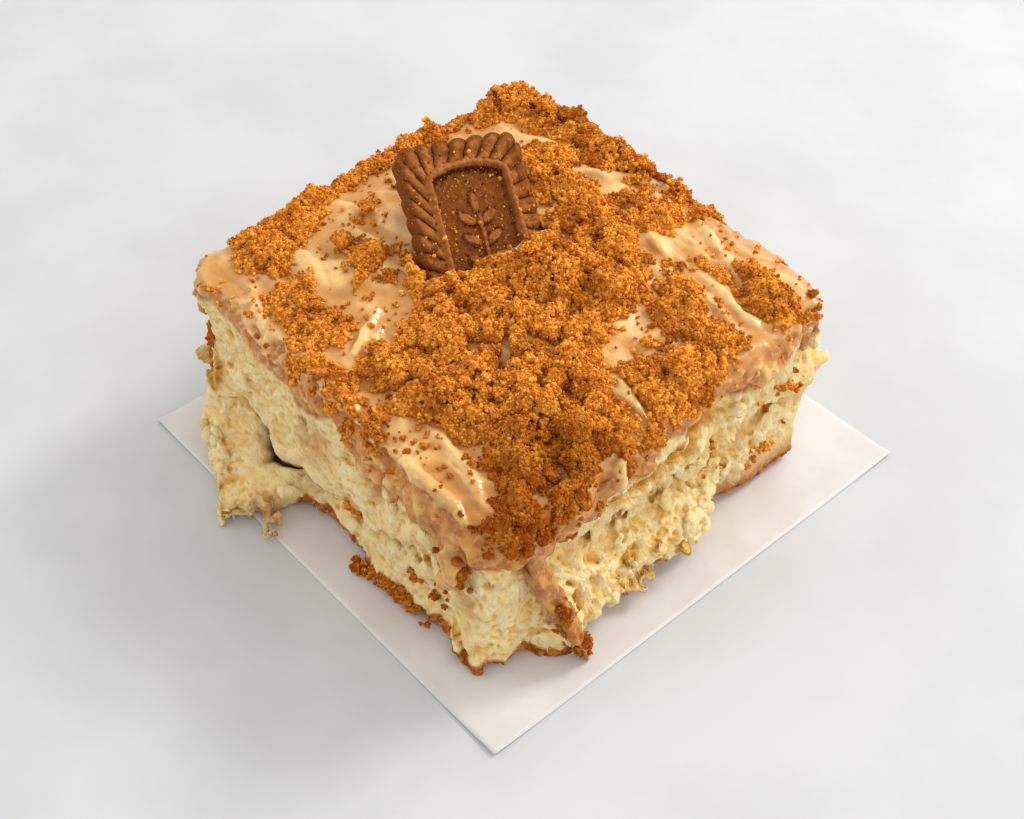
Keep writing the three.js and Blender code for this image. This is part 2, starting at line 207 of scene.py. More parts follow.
class Unevenness:
    """Smooth noise from -1 to 1, and cell noise, both repeatable from a seed."""

    def __init__(self, seed):
        order = np.random.default_rng(seed)
        self.table = order.permutation(256)
        self.slopes = unit(order.normal(size=(256, 3)))
        self.spots = order.random((256, 3))

    def pick(self, cell):
        a = self.table[cell[:, 0] & 255]
        b = self.table[(a + cell[:, 1]) & 255]
        return self.table[(b + cell[:, 2]) & 255]

    def swell(self, points, size):
        p = np.asarray(points, float) / size
        cell = np.floor(p).astype(int)
        f = p - cell
        fade = f * f * f * (f * (f * 6 - 15) + 10)
        total = np.zeros(len(p))
        for corner in product((0, 1), repeat=3):
            corner = np.array(corner)
            slope = self.slopes[self.pick(cell + corner)]
            weight = np.prod(np.where(corner, fade, 1 - fade), axis=1)
            total += weight * ((f - corner) * slope).sum(1)
        return total * 1.6

    def crest(self, points, size):
        """1 on thin winding crests, falling to 0 and below between them."""
        return 1 - 2.4 * np.abs(self.swell(points, size))

    def bubble(self, points, size):
        """0 at the middle of each bubble, rising to about 1 at the walls between them."""
        p = np.asarray(points, float) / size
        cell = np.floor(p).astype(int)
        nearest = np.full(len(p), 9.0)
        for corner in product((-1, 0, 1), repeat=3):
            near = cell + np.array(corner)
            away = near + self.spots[self.pick(near)] - p
            nearest = np.minimum(nearest, (away * away).sum(1))
        return np.sqrt(nearest)

    def drift(self, points, size, amount):
        """The points pushed about, so that a pattern made from them loses its regularity."""
        shifts = [self.swell(points + 37.7 * (k + 1), size) for k in range(3)]
        return points + amount * np.stack(shifts, 1)


rough = Unevenness(11)
print("noise at the origin's neighbour:", rough.swell(np.array([[1.0, 2.0, 3.0]]), 4.0))

# %% [markdown]
# ## Blobs to melt together
# Torn shreds, runs of glaze and heaps of crumb are all many small rounded bodies that have stuck to each
# other. We place them as stretched little balls, join them into one mesh, and melt that with a voxel
# remesh. Overlaps disappear, and creases stay where two of them meet.
# %% Many little balls in one mesh


def ball(rings):
    """A unit ball's points and triangles: 12, 42 or 162 points."""
    golden = (1 + 5 ** 0.5) / 2
    corners = []
    for a, b in product((-1, 1), (-golden, golden)):
        corners += [(0, a, b), (a, b, 0), (b, 0, a)]
    points = [Vector(c).normalized() for c in corners]
    near = min((points[0] - p).length for p in points[1:]) * 1.1
    triangles = []
    for i, j, k in product(range(12), repeat=3):
        if i < j < k and max((points[i] - points[j]).length, (points[j] - points[k]).length,
                             (points[i] - points[k]).length) < near:
            out = (points[j] - points[i]).cross(points[k] - points[i]).dot(points[i])
            triangles.append((i, j, k) if out > 0 else (i, k, j))
    for _ in range(rings):
        middle, finer = {}, []
        for a, b, c in triangles:
            halves = []
            for pair in ((a, b), (b, c), (c, a)):
                key = tuple(sorted(pair))
                if key not in middle:
                    middle[key] = len(points)
                    points.append(((points[pair[0]] + points[pair[1]]) / 2).normalized())
                halves.append(middle[key])
            ab, bc, ca = halves
            finer += [(a, ab, ca), (b, bc, ab), (c, ca, bc), (ab, bc, ca)]
        triangles = finer
    return np.array([tuple(p) for p in points]), np.array(triangles)


def blobs(places, axes, rings=1):
    """Points and triangles of many stretched balls. axes holds each one's three half axes as rows."""
    points, triangles = ball(rings)
    where = np.einsum("pk,nkj->npj", points, axes) + places[:, None, :]
    faces = triangles[None] + (np.arange(len(places)) * len(points))[:, None, None]
    return where.reshape(-1, 3), faces.reshape(-1, 3)


def round_axes(radii):
    return np.asarray(radii, float)[:, None, None] * np.eye(3)[None]


def turned_axes(along, out, lengths):
    """Half axes for blobs that lie along one direction and are thin in another."""
    along = unit(along)
    side = unit(np.cross(out, along))
    third = np.cross(along, side)
    return np.stack([along * lengths[:, :1], side * lengths[:, 1:2], third * lengths[:, 2:3]], 1)


def chain(path, radii, spacing=0.5):
    """Balls strung along a path of points, their radius changing from point to point."""
    places, sizes = [], []
    for (a, ra), (b, rb) in zip(zip(path, radii), zip(path[1:], radii[1:])):
        a, b = np.array(a, float), np.array(b, float)
        count = max(2, int(np.linalg.norm(b - a) / (spacing * min(ra, rb))))
        for t in np.linspace(0, 1, count):
            places.append(a + (b - a) * t)
            sizes.append(ra + (rb - ra) * t)
    return np.array(places), np.array(sizes)


def strung(path, radii):
    """The balls of a chain, as points and triangles."""
    places, sizes = chain(path, radii)
    return blobs(places, round_axes(sizes))


def gather(parts):
    """Several lots of points and faces as one."""
    points, faces, start = [], [], 0
    for p, f in parts:
        points.append(p)
        faces.append(f + start)
        start += len(p)
    return np.concatenate(points), np.concatenate(faces)


def triangles_of(node):
    """A CAD node's points and triangles, in millimetres."""
    mesh = node.data
    mesh.calc_loop_triangles()
    rows = np.empty(len(mesh.loop_triangles) * 3, np.int32)
    mesh.loop_triangles.foreach_get("vertices", rows)
    return points_of(node), rows.reshape(-1, 3)


print("a small ball has", len(ball(1)[0]), "points")

# %% [markdown]
# ## The bread
# Pulled apart by hand, soft dough tears into flakes and feathery shreds that mostly follow the way it rose,
# with smooth bubbles opened in between. A bump map would look painted on where the light rakes across the
# sides, so the tear is real shape: shreds melted onto the CAD body, then crests and bubbles pushed into it.
# %% Shreds on the torn sides
bread_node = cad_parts["bread_roll"]
bread_low, bread_high = box_of("bread_roll")
bread_tree = tree_of(*triangles_of(bread_node))
glaze_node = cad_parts["glaze_coat"]
glaze_tree = tree_of(*triangles_of(glaze_node))
chance = np.random.default_rng(5)
OUTSIDE = 90  # mm from the middle of the roll, beyond each of its sides

# The lips of the tear, where the longest shreds hang: [x, y, z] in mm, round the roll.
TORN_LIPS = [
    [(49, -34, 37), (49, -18, 36), (49, 0, 32), (49, 9, 30), (49, 24, 33), (48, 31, 44)],
    [(51, -35, 7), (53, -20, 6), (53, -8, 6), (53, 3, 8), (52, 14, 10), (48, 20, 16), (47, 27, 9)],
    [(-47, -54, 4), (-36, -60, 5), (-26, -65, 3), (-23, -60, 4), (-19, -50, 3)],
    [(-40, 55, 30), (-10, 56, 28), (20, 55, 27), (40, 54, 26)],
    [(-57, -30, 28), (-58, 0, 29), (-57, 35, 28)],
    [(-58, -30, 8), (-59, 0, 7), (-58, 30, 7)],
    [(-30, 57, 6), (5, 58, 6), (30, 56, 7)],
]
# The narrow tear across the front face, as [x, z] in mm.
FRONT_TEAR = [(-38, 17.5), (-35, 14.5), (-29, 9.8), (-18.8, 11), (-6.8, 14), (2, 17)]
# The crease under the upper lip of the right side, as [y, z] in mm.
RIGHT_CREASE = [(-33, 34), (-28.5, 35), (-17.3, 34.1), (-2.5, 32.6), (6, 34), (12.1, 37.8), (22, 39)]


def path_distance(u, v, path):
    """Distance from places (u, v) to a path drawn in the same plane, and how far along it from 0 to 1."""
    nearest, share = np.full(len(u), 1e9), np.zeros(len(u))
    for k, ((au, av), (bu, bv)) in enumerate(zip(path, path[1:])):
        du, dv = bu - au, bv - av
        t = np.clip(((u - au) * du + (v - av) * dv) / (du * du + dv * dv), 0, 1)
        away = np.hypot(u - au - t * du, v - av - t * dv)
        share = np.where(away < nearest, (k + t) / (len(path) - 1), share)
        nearest = np.minimum(nearest, away)
    return nearest, share


def side_samples(count):
    """Places on the four torn sides, with the direction that each side faces there."""
    found = []
    middle = (bread_low + bread_high) / 2
    while len(found) < count:
        angle = chance.uniform(0, 2 * math.pi)
        z = chance.uniform(1.5, 50)
        square = max(abs(math.cos(angle)), abs(math.sin(angle)))
        start = Vector((middle[0] + OUTSIDE * math.cos(angle) / square,
                        middle[1] + OUTSIDE * math.sin(angle) / square, z))
        side = Vector((1, 0, 0)) if abs(math.cos(angle)) > abs(math.sin(angle)) else Vector((0, 1, 0))
        toward = -side * math.copysign(1, side.x * math.cos(angle) + side.y * math.sin(angle))
        place, normal, _, _ = bread_tree.ray_cast(start, toward)
        if place is None:
            continue
        covered = glaze_tree.ray_cast(start, toward, 200)[0]
        if covered is not None and (covered - start).length < (place - start).length:
            continue
        found.append((*place, *normal))
    rows = np.array(found)
    tear, _ = path_distance(rows[:, 0], rows[:, 2], FRONT_TEAR)
    baked = (rows[:, 0] > 38) & (rows[:, 1] > 22) & (rows[:, 2] < 13)
    rows = rows[~((rows[:, 1] < -40) & (tear < 3)) & ~baked]
    return rows[:, :3], rows[:, 3:]


def shreds(places, normals, reach, lift):
    """Thin stretched flakes, lying mostly up and down the side with one end lifted off it."""
    count = len(places)
    sideways = np.cross(normals, [0, 0, 1.0])
    lean = chance.normal(0, 0.8, (count, 1))
    along = np.array([0, 0, 1.0]) + lean * sideways + lift * chance.uniform(-0.3, 1, (count, 1)) * normals
    long = reach * chance.lognormal(0, 0.45, count)
    wide = long * chance.uniform(0.3, 0.6, count)
    thin = np.clip(wide * chance.uniform(0.3, 0.6, count), 0.35, 1.0)
    outward = chance.uniform(-0.8, 0.3, (count, 1)) * thin[:, None] * normals
    return places + outward, turned_axes(along, normals, np.stack([long, wide, thin], 1))


def lip_samples(spacing):
    """Places along the lips of the tear, and the way the bread faces there."""
    places = []
    for lip in TORN_LIPS:
        for a, b in zip(lip, lip[1:]):
            a, b = np.array(a, float), np.array(b, float)
            for t in np.arange(0, 1, spacing / np.linalg.norm(b - a)):
                places.append(a + (b - a) * t + chance.normal(0, 1.3, 3))
    return onto(bread_tree, places)


shred_parts = []
for (places, normals), reach, lift in ((side_samples(650), 3.0, 0.15), (lip_samples(0.65), 2.6, 1.5)):
    # The wedge stays smooth, and no shred hangs over the narrow tear in the front.
    clear = away_from(places, (48, 50, 29)) > 9
    clear &= (places[:, 1] > -42) | (path_distance(places[:, 0], places[:, 2], FRONT_TEAR)[0] > 6)
    shred_parts.append(blobs(*shreds(places[clear], normals[clear], reach, lift)))
# The second tip of the flap at the left foot, a finger of crumb torn across the paper.
places, sizes = chain([(-27, -55, 4), (-22, -57.5, 3.2), (-17, -59.5, 2.4), (-14, -61, 2.0)],
                      [3.0, 2.4, 1.9, 1.3])
places, sizes = np.repeat(places, 3, axis=0), np.repeat(sizes, 3)
ragged = places + chance.normal(0, 0.55, places.shape) * sizes[:, None]
ragged[:, 2] = np.maximum(ragged[:, 2], 1.4)
shred_parts.append(blobs(ragged, round_axes(sizes * chance.uniform(0.3, 0.75, len(ragged)))))
# The wedge of crumb pulled out past the right corner, thin and upright.
wedge = np.array([(46, 43, 28.4), (46.8, 46.2, 28.8), (47.3, 49, 29.3), (47.7, 51.4, 29.8),
                  (48, 53.4, 30.2)])
heights = np.array([5.6, 4.8, 3.6, 2.4, 1.3])
wedge_axes = np.array([[[1.5, 0, 0], [0, 2.2, 0], [0, 0, h]] for h in heights])
shred_parts.append(blobs(wedge, wedge_axes, 2))
BREAD_CELL = 0.43  # mm across each face of the melted skin
bread = build_piece("torn_bread", *gather([triangles_of(bread_node)] + shred_parts))
fused(bread, BREAD_CELL)
print("bread after melting:", len(bread.data.polygons), "faces")

# %% [markdown]
# The shreds give the outline. Now the skin itself is worked: broad soft lobes, creases between them where
# the crumb pulled, a fine nap of broken cell walls, and smooth pockets where a bubble was opened. None of
# this belongs under the glaze or on the flat base, so each point first learns whether glaze lies over it.
# %% Lobes, nap and pockets in the torn sides
# Large bubbles laid open by the tear: middle, half sizes, all in mm.
OPEN_POCKETS = [((45, -48, 26.5), (2.4, 5, 3.0)), ((51, -19, 17), (5, 3.4, 2.6)),
                ((53, -10, 12.5), (5, 3.6, 2.6)), ((51, -12, 21.5), (5, 3.0, 2.0)),
                ((50, 8, 24), (5, 4, 3)), ((49, 20, 26), (5, 3.6, 3))]
points, normals = points_of(bread), normals_of(bread)
covered = np.zeros(len(points))
for i, (p, n) in enumerate(zip(points, normals)):
    if p[2] > 22 and not (p[0] > 41.5 and p[1] < -39.5 and p[2] < 33):
        outward = Vector((n[0], n[1], max(n[2], 0.15))).normalized()
        if glaze_tree.ray_cast(Vector(p) - outward * 0.6, outward, 5)[0] is not None:
            covered[i] = 1
covered = smoothed(covered, edges_of(bread), 6)
side = step(1 - np.abs(normals[:, 2]), 0.05, 0.4)
open_crumb = fade(covered, 0.1, 0.7) * np.maximum(side, step(points[:, 2], 3, 6))
baked_side = step(points[:, 0], 36, 42) * step(points[:, 1] + 1.5 * rough.swell(points, 5), 21, 24) \
    * fade(points[:, 2] + 2 * rough.swell(points, 4), 9, 13)
open_crumb *= 1 - 0.9 * baked_side
shaggy = np.clip(0.5 + 0.5 * np.maximum(step(points[:, 0], 42, 47), step(-points[:, 1], 52, 55)), 0, 1)
warped = rough.drift(points, 9, 3.5)
# Flakes run taller than they are wide, except on the front, where the pull was along the base.
on_front = (points[:, 1] < -40)[:, None]
pull = warped * np.where(on_front, np.array([0.6, 1, 1]), np.array([1, 1, 0.6]))
lobes = 1.05 * rough.swell(pull, 12) + 0.6 * rough.swell(pull + 60, 5.0)
creases = shaggy * (0.5 * rough.crest(pull, 6.5) + 0.3 * rough.crest(pull + 50, 3.0) - 0.35)
strands = warped * np.where(on_front, np.array([0.5, 1, 0.8]), np.array([1, 1, 0.35]))
nap = 0.28 * rough.crest(strands + 90, 1.7) + 0.3 * rough.swell(points + 30, 1.05) - 0.1
cells = rough.bubble(rough.drift(points, 3, 1.2) + 20, 1.5)
nap -= (0.22 + 0.3 * rough.swell(points + 170, 9)) * fade(cells, 0.15, 0.55)
bubble = rough.bubble(rough.drift(points, 5, 2.5) * np.array([1, 1, 0.8]), 7.5)
pocket = fade(bubble, 0.12, 0.45) * step(rough.swell(points + 200, 11), 0.1, 0.35) * shaggy
warp = rough.drift(points, 4, 2.2)
for at, half in OPEN_POCKETS:
    pocket = np.maximum(pocket, 0.7 - 0.7 * step(np.linalg.norm((warp - at) / half, axis=1), 0.55, 1.0))
small_pocket = fade(rough.bubble(warped, 2.2), 0.1, 0.4) * step(rough.swell(points + 150, 8), -0.1, 0.3)
tear, tear_share = path_distance(points[:, 0], points[:, 2] + 0.7 * rough.swell(points, 3), FRONT_TEAR)
tear_depth = (points[:, 1] < -38) * step(normals[:, 2], -0.8, -0.3) * step(tear_share, 0, 0.1) \
    * fade(tear_share, 0.6, 1)
tear_cut = tear_depth * np.exp(-((tear / (1.7 - 0.9 * tear_share)) ** 2))
depth = lobes + creases + nap - 2.6 * pocket - 0.35 * small_pocket
in_wedge = fade(np.min([away_from(points, at) for at in wedge[1:]], axis=0), 3, 6.5)
depth *= (1 - 0.8 * tear_depth * fade(tear, 1, 3)) * (1 - 0.8 * in_wedge)
crease, crease_share = path_distance(points[:, 1], points[:, 2] + 1.2 * rough.swell(points, 4), RIGHT_CREASE)
crease_cut = (points[:, 0] > 38) * np.exp(-((crease / 1.9) ** 2)) * step(crease_share, 0, 0.1) \
    * fade(crease_share, 0.8, 1)
points += normals * (depth * open_crumb)[:, None]
points += np.array([0, 0.55, -0.83]) * (5.0 * tear_cut * open_crumb)[:, None]
points += np.array([-0.9, 0, -0.35]) * (3.2 * crease_cut * open_crumb)[:, None]
flap = step(-points[:, 1], 49.5, 52) * (points[:, 0] < 0)
foot = fade(points[:, 2] + 0.9 * rough.swell(points, 5), 3.0, 3.9) * side * (1 - flap)
foot_skin = 0.3 + 0.3 * rough.crest(points, 2.2) + 0.35 * rough.swell(points, 1.1)
points += normals * (foot * foot_skin)[:, None]
points[:, 2] = np.maximum(points[:, 2], 0.45 + 0.15 * rough.swell(points, 3))
by_tear = (points[:, 1] < -38) * fade(tear, 3, 5.5) * (tear_share < 0.8)
points += (smoothed(points, edges_of(bread), 5) - points) * (0.85 * by_tear)[:, None]
points = smoothed(points, edges_of(bread), 1, 0.25)
move_points(bread, points)
# Painted shade kept for the material: deeper colour where a point lies in hollows, an opened pocket or the
# right-hand crease, and a little more on the wedge.
store(bread, "hollow", np.clip(0.42 + 0.75 * hollowness(bread, 24) + 0.12 * hollowness(bread, 5)
                               + (0.3 * pocket + 0.5 * crease_cut) * open_crumb + 0.12 * in_wedge, 0, 1))
# A painted shadow: a dark line along the front tear, drawn also where the cut is too shallow to shade
# itself.
painted_tear_shadow = fade(tear / (1.25 - 0.5 * tear_share), 0.45, 1.1)
painted_tear_shadow *= (points[:, 1] < -38) * open_crumb * step(tear_share, 0, 0.1) * fade(tear_share, 0.65, 1)
store(bread, "tear", np.maximum(step(tear_cut, 0.12, 0.75), painted_tear_shadow))

# %% [markdown]
# Where the dough met the tin it is browned, and so is the ring of crust just under the glaze, which has
# soaked some of it up. The torn middle stays pale. These are numbers from 0 to 1 on the points: toast for
# browning, soak for glaze taken up by the crumb.
# %% Browning and soaking
# Where caramel has soaked into the torn side: middle and reach in mm.
SOAKED_SPOTS = [((-10, -48, 26), 8), ((3, -48, 16), 5), ((-20, -58, 2), 5), ((12, -48, 30), 6),
                ((40, -48, 18), 5), ((51, -2, 27), 4), ((48, 26, 40), 4), ((-30, -49, 37), 4)]
height = points[:, 2]
patch = rough.swell(points, 7) + 0.5 * rough.swell(points, 2.5)
base_crust = fade(height - 1.1 * patch, 3.2, 4.2) * (1 - flap)
baked_fade = baked_side * (1 - 0.75 * step(height, 1.5, 10))
edge_crust = smoothed(covered, edges_of(bread), 30)
toast = np.maximum(np.maximum(base_crust, baked_fade), 0.6 * step(edge_crust + 0.12 * patch, 0.14, 0.5))
soak = step(edge_crust + 0.16 * patch, 0.015, 0.3)
for at, reach in SOAKED_SPOTS:
    near = away_from(points, at) / reach
    soak = np.maximum(soak, 0.95 * fade(near + 0.55 * patch, 0.15, 1.15))
scorch = step(rough.swell(points + 77, 5) + 0.4 * rough.swell(points + 7, 1.7), 0.42, 0.7) * open_crumb
store(bread, "toast", np.clip(toast, 0, 1))
store(bread, "soak", np.clip(soak, 0, 1))
store(bread, "scorch", scorch)
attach(bread, "root")
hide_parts("bread_roll")
print("share of the bread browned:", round(float(toast.mean()), 3), "soaked:", round(float(soak.mean()), 3))

# %% [markdown]
# Along the lips of the tear the crumb ends in single strands, too fine for the melted skin. Each is a bent,
# tapered spike rooted in the skin. They lie mostly along the side, and hang free where the lip overhangs.
# %% Strands of crumb
bread_skin = skin_tree(bread)


def strands_mesh(roots, along, bend, length, width):
    """Points and four-cornered faces of many bent spikes."""
    rings, corners = 4, 4
    t = np.linspace(0, 1, rings)[None, :, None]
    spine = roots[:, None] + length[:, None, None] * (t * along[:, None] + 0.6 * t * t * bend[:, None])
    side_way = unit(np.cross(along, bend))
    up_way = np.cross(side_way, along)
    taper = width[:, None, None] * (1 - 0.85 * t ** 1.4)
    loops = []
    for k in range(corners):
        a = 2 * math.pi * k / corners
        across = math.cos(a) * side_way[:, None] + 0.55 * math.sin(a) * up_way[:, None]
        loops.append(spine + taper * across)
    mesh_points = np.stack(loops, 2).reshape(-1, 3)
    one = []
    for r, k in product(range(rings - 1), range(corners)):
        one.append((r * corners + k, r * corners + (k + 1) % corners, (r + 1) * corners + (k + 1) % corners,
                    (r + 1) * corners + k))
    one += [(3, 2, 1, 0), tuple((rings - 1) * corners + k for k in range(corners))]
    faces = np.array(one)[None] + (np.arange(len(roots)) * rings * corners)[:, None, None]
    return mesh_points, faces.reshape(-1, 4)


side_places, _ = side_samples(6500)
lip_places, _ = lip_samples(0.3)
keep = (side_places[:, 0] > 40) | (chance.random(len(side_places)) < 0.6)
roots, faces_out = onto(bread_skin, np.concatenate([side_places[keep], lip_places]))
on_lip = np.concatenate([np.zeros(keep.sum()), np.ones(len(lip_places))])
count = len(roots)
sideways = np.cross(faces_out, [0, 0, 1.0])
sway = np.stack([rough.swell(roots + 600, 4), rough.swell(roots + 700, 4)], 1)  # neighbours lie alike
along = np.array([0, 0, 1.0]) * sway[:, :1] + sideways * (sway[:, 1:] + chance.normal(0, 0.4, (count, 1)))
along = unit(along, 0.3) + chance.normal(0, 0.25, (count, 3))
along = unit(along + faces_out * (0.25 + 0.35 * on_lip * chance.random(count))[:, None])
bend = chance.normal(0, 0.5, (count, 3)) - 0.55 * faces_out
length = chance.lognormal(-0.1, 0.35, count) * (1 + 0.35 * on_lip)
width = chance.uniform(0.09, 0.2, count)
roots -= faces_out * 0.12
tips = roots + length[:, None] * (along + 0.6 * bend)
fine = (tips[:, 2] > 1.0) & (roots[:, 2] > 1.2)
spikes = strands_mesh(*[rows[fine] for rows in (roots, along, bend, length, width)])
strands_piece = build_piece("bread_strands", *spikes)
strands_piece.data.shade_smooth()
store(strands_piece, "hollow", np.full(len(strands_piece.data.vertices), 0.35))
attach(strands_piece, "root")
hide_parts("bread_roll")
print("strands:", int(fine.sum()), "faces:", len(strands_piece.data.polygons))

# %% [markdown]
# ## The glaze
# A thick powdered-sugar glaze with biscuit spread in it is poured on warm. It levels in the hollows, keeps
# the ridges that the spoon left, thins to nothing over crests so the crust shows, and hangs in short runs
# from the edge. The CAD coat gives its spread. Runs, ridges and the collar round the biscuit are strung
# from balls and melted in.
# %% Runs and ridges
glaze_low, glaze_high = box_of("glaze_coat")
ABOVE = 120.0  # mm, higher than anything on the roll


def top_of(tree, x, y):
    """Height of the surface under a place, or None beyond its edge."""
    place = tree.ray_cast(Vector((x, y, ABOVE)), Vector((0, 0, -1)))[0]
    return None if place is None else place.z


# Ridges left by the spoon: places along each in mm, how wide it is and how far it stands up.
SPOON_RIDGES = [
    ([(-21, 36), (-14, 42), (-6, 48.5), (1, 52)], 1.6, 1.0),
    ([(7, 49), (18, 45), (32, 38.5)], 1.5, 1.1),
    ([(6, 35), (16, 31.5), (26, 28.5)], 1.2, 0.8),
    ([(25, 33.5), (34, 32.5), (45, 32)], 1.7, 1.2),
    ([(27, 29.5), (36, 29), (46, 27)], 1.0, 0.9),
    ([(34, -1.5), (41, -2.5), (49, -3.5)], 1.4, 1.2),
    ([(30, -9.5), (39, -10)], 1.2, 0.9),
    ([(18, -38), (25, -38.5), (32, -39), (40, -42)], 1.2, 1.1),
    ([(27, -41), (34, -41.5), (41, -43)], 0.8, 0.9),
    ([(20, -46.5), (26, -47), (33, -46.2), (41, -47)], 1.6, 1.7),
    ([(-7, -38), (-10, -32), (-13, -26.5)], 1.0, 1.4),
    ([(-4.5, -37), (-7, -32), (-9, -28)], 0.7, 1.0),
    ([(-48, -30), (-38, -28), (-27, -30)], 1.8, 0.9),
    ([(-50, -10), (-40, -7), (-28, -8)], 2.0, 0.9),
    ([(-48, 8), (-40, 9), (-33, 6)], 1.6, 0.8),
    ([(-46, 24), (-38, 25), (-30, 20)], 1.8, 0.8),
    ([(-30, -12), (-25, -17), (-17, -20)], 1.4, 1.0),
    ([(34, 14), (40, 13), (47, 12)], 1.3, 0.8),
    ([(-40, -47), (-34, -44), (-28, -47)], 1.1, 1.2),
    ([(-24, -46), (-14, -45), (-6, -46.5)], 1.5, 1.4),
    ([(-4, -47), (4, -46), (14, -47.5)], 1.4, 1.5),
]


def on_skin(path, sink):
    """A path on the top, sunk a little into the glaze."""
    places = []
    for x, y in path:
        z = top_of(glaze_tree, x, y)
        places.append((x, y, (z if z is not None else glaze_high[2]) - sink))
    return places


glaze_parts = [triangles_of(glaze_node)]
for path, width, rise in SPOON_RIDGES:
    finer = []
    for (ax, ay), (bx, by) in zip(path, path[1:]):
        finer += [(ax + (bx - ax) * t, ay + (by - ay) * t) for t in np.linspace(0, 1, 5, endpoint=False)]
    finer.append(path[-1])
    spine = on_skin(finer, width - rise)
    taper = [0.45 + 0.75 * math.sin(math.pi * (i + 0.7) / (len(spine) + 0.4)) for i in range(len(spine))]
    glaze_parts.append(strung(spine, [width * t for t in taper]))

# Runs down the sides: the bearing in degrees, how far it falls and how wide it is, both in mm.
RUNS = [(-134, 9, 1.0), (-66, 3, 1.6), (-22, 8, 0.7), (39, 5, 1.5), (52, 4, 1.2), (66, 5, 1.4),
        (82, 4, 1.5), (97, 6, 1.3), (112, 4, 1.5), (128, 6, 1.4), (141, 7, 1.3), (155, 5, 1.5),
        (170, 6, 1.4), (186, 5, 1.3), (200, 6, 1.5), (214, 4, 1.2)]
TOP_MIDDLE = (-3.5, 2.5)  # mm
for bearing, fall, radius in RUNS:
    a = math.radians(bearing)
    square = max(abs(math.cos(a)), abs(math.sin(a)))
    away = Vector((math.cos(a), math.sin(a), 0))
    edge = None
    for z in np.arange(54, 24, -0.5):
        middle = Vector((*TOP_MIDDLE, z))
        hit = glaze_tree.ray_cast(middle + away * (OUTSIDE / square), -away)[0]
        if hit is not None and (hit - middle).dot(away) > 30:
            edge = hit
    if edge is None:
        continue
    path = []
    for t in np.linspace(0, 1, 6):
        z = edge.z + 3 - (fall + 3) * t
        hit = bread_tree.ray_cast(Vector((*TOP_MIDDLE, z)) + away * (OUTSIDE / square), -away)[0]
        path.append(tuple(hit + away * 0.7) if hit else (edge.x, edge.y, z))
    radii = [radius * (1.1 - 0.35 * t) for t in np.linspace(0, 1, 5)] + [radius * 0.8]
    glaze_parts.append(strung(path, radii))

# The glaze-soaked strip that hangs to the paper by the near corner, and a thin string beside it.
strip = [(48, -38, 33), (50.5, -36, 25), (53, -33.5, 17), (55.8, -31.5, 9), (58, -29.5, 1.9)]
for path, radii in ((strip, [3.2, 2.4, 2.2, 1.9, 1.2]),
                    ([(50.5, -14, 45), (51.6, -14.6, 41), (51.8, -15, 37)], [1.4, 0.7, 0.35])):
    glaze_parts.append(strung(path, radii))

# The collar of glaze that the biscuit pushed up round its foot.
collar = [(-23, -10), (-19, -13.5), (-12, -16), (-6, -15.5), (-3, -12)]
glaze_parts.append(strung(on_skin(collar, 0.4), [0.9, 1.9, 1.6, 1.5, 0.8]))
# A lobe of it soaked the torn side left of the near corner.
places, sizes = chain([(39, -47.5, 34), (38.5, -48.6, 30), (37.8, -49, 26), (37.3, -49, 22.5)],
                      [2.6, 3.0, 2.4, 1.4])
shaken = places + chance.normal(0, 0.6, places.shape)
glaze_parts.append(blobs(shaken, round_axes(sizes * chance.uniform(0.7, 1, len(sizes)))))
# It also climbed the near edge of the biscuit.
climb = [(-11.5, -16.6, 50), (-14.2, -15.5, 52.2), (-16.8, -14.5, 54.5), (-18.6, -13.8, 56)]
glaze_parts.append(strung(climb, [2.0, 1.5, 1.0, 0.6]))
GLAZE_CELL = 0.52  # mm
glaze = build_piece("poured_glaze", *gather(glaze_parts))
fused(glaze, GLAZE_CELL)
print("glaze after melting:", len(glaze.data.polygons), "faces")

# %% [markdown]
# Melted, the coat is still too even. Real glaze swells and dips over the crust below it, with soft folds
# near the edge. Only its outer skin moves: a point counts as outer if its normal looks away from the bread.
# How thick the glaze lies is kept for the material, which is creamier where it is thick.
# %% Swells in the glaze
points, normals = points_of(glaze), normals_of(glaze)
away = np.zeros(len(points))
gap = np.zeros(len(points))
for i, (p, n) in enumerate(zip(points, normals)):
    place, _, _, distance = bread_tree.find_nearest(Vector(p))
    away[i] = (Vector(p) - place).normalized().dot(Vector(n)) if distance > 0.05 else 0
    gap[i] = distance
outer = smoothed((away > 0.1).astype(float), edges_of(glaze), 3) * step(gap, 0.7, 1.4)
flow = rough.drift(points, 14, 5)
strokes = flow * np.array([0.35, 1, 1])  # the spoon was drawn along X
swell = 0.7 * rough.swell(flow, 12) + 0.55 * rough.crest(strokes, 6.5) - 0.3
swell += 0.3 * rough.swell(strokes + 40, 2.6) + 0.08 * rough.swell(points, 1.5)
on_side = fade(normals[:, 2], 0.35, 0.75)
folds = 0.9 * rough.crest(flow, 5) + 0.55 * rough.crest(flow, 2.2) + 0.2 * rough.crest(points, 1.1) - 0.5
swell += on_side * folds
points += normals * (outer * swell)[:, None]
hanging = smoothed(on_side, edges_of(glaze), 6)
sag = 1.2 * rough.swell(points * np.array([1, 1, 0.2]), 6) + 0.8 * rough.swell(points, 2.5)
points[:, 2] += hanging * sag
# At the near corner the coat stops short, so that the torn crumb shows below it.
tucked = step(points[:, 0], 41, 44) * step(-points[:, 1], 38.5, 41.5) \
    * fade(points[:, 2] + 2.4 * rough.swell(points, 3.5), 31, 34)
points += np.array([-3.4, 3.4, 0.6]) * tucked[:, None]
points = smoothed(points, edges_of(glaze), 2, 0.4)
move_points(glaze, points)
thick = smoothed(step(gap + swell, 1.2, 3.6), edges_of(glaze), 3)
store(glaze, "thick", thick)
# Painted shade for the material: the glaze is darker where it lies in hollows.
store(glaze, "hollow", np.clip(0.5 + 0.9 * hollowness(glaze, 16), 0, 1))
store(glaze, "crumpled", hanging * (1 - 0.6 * thick))
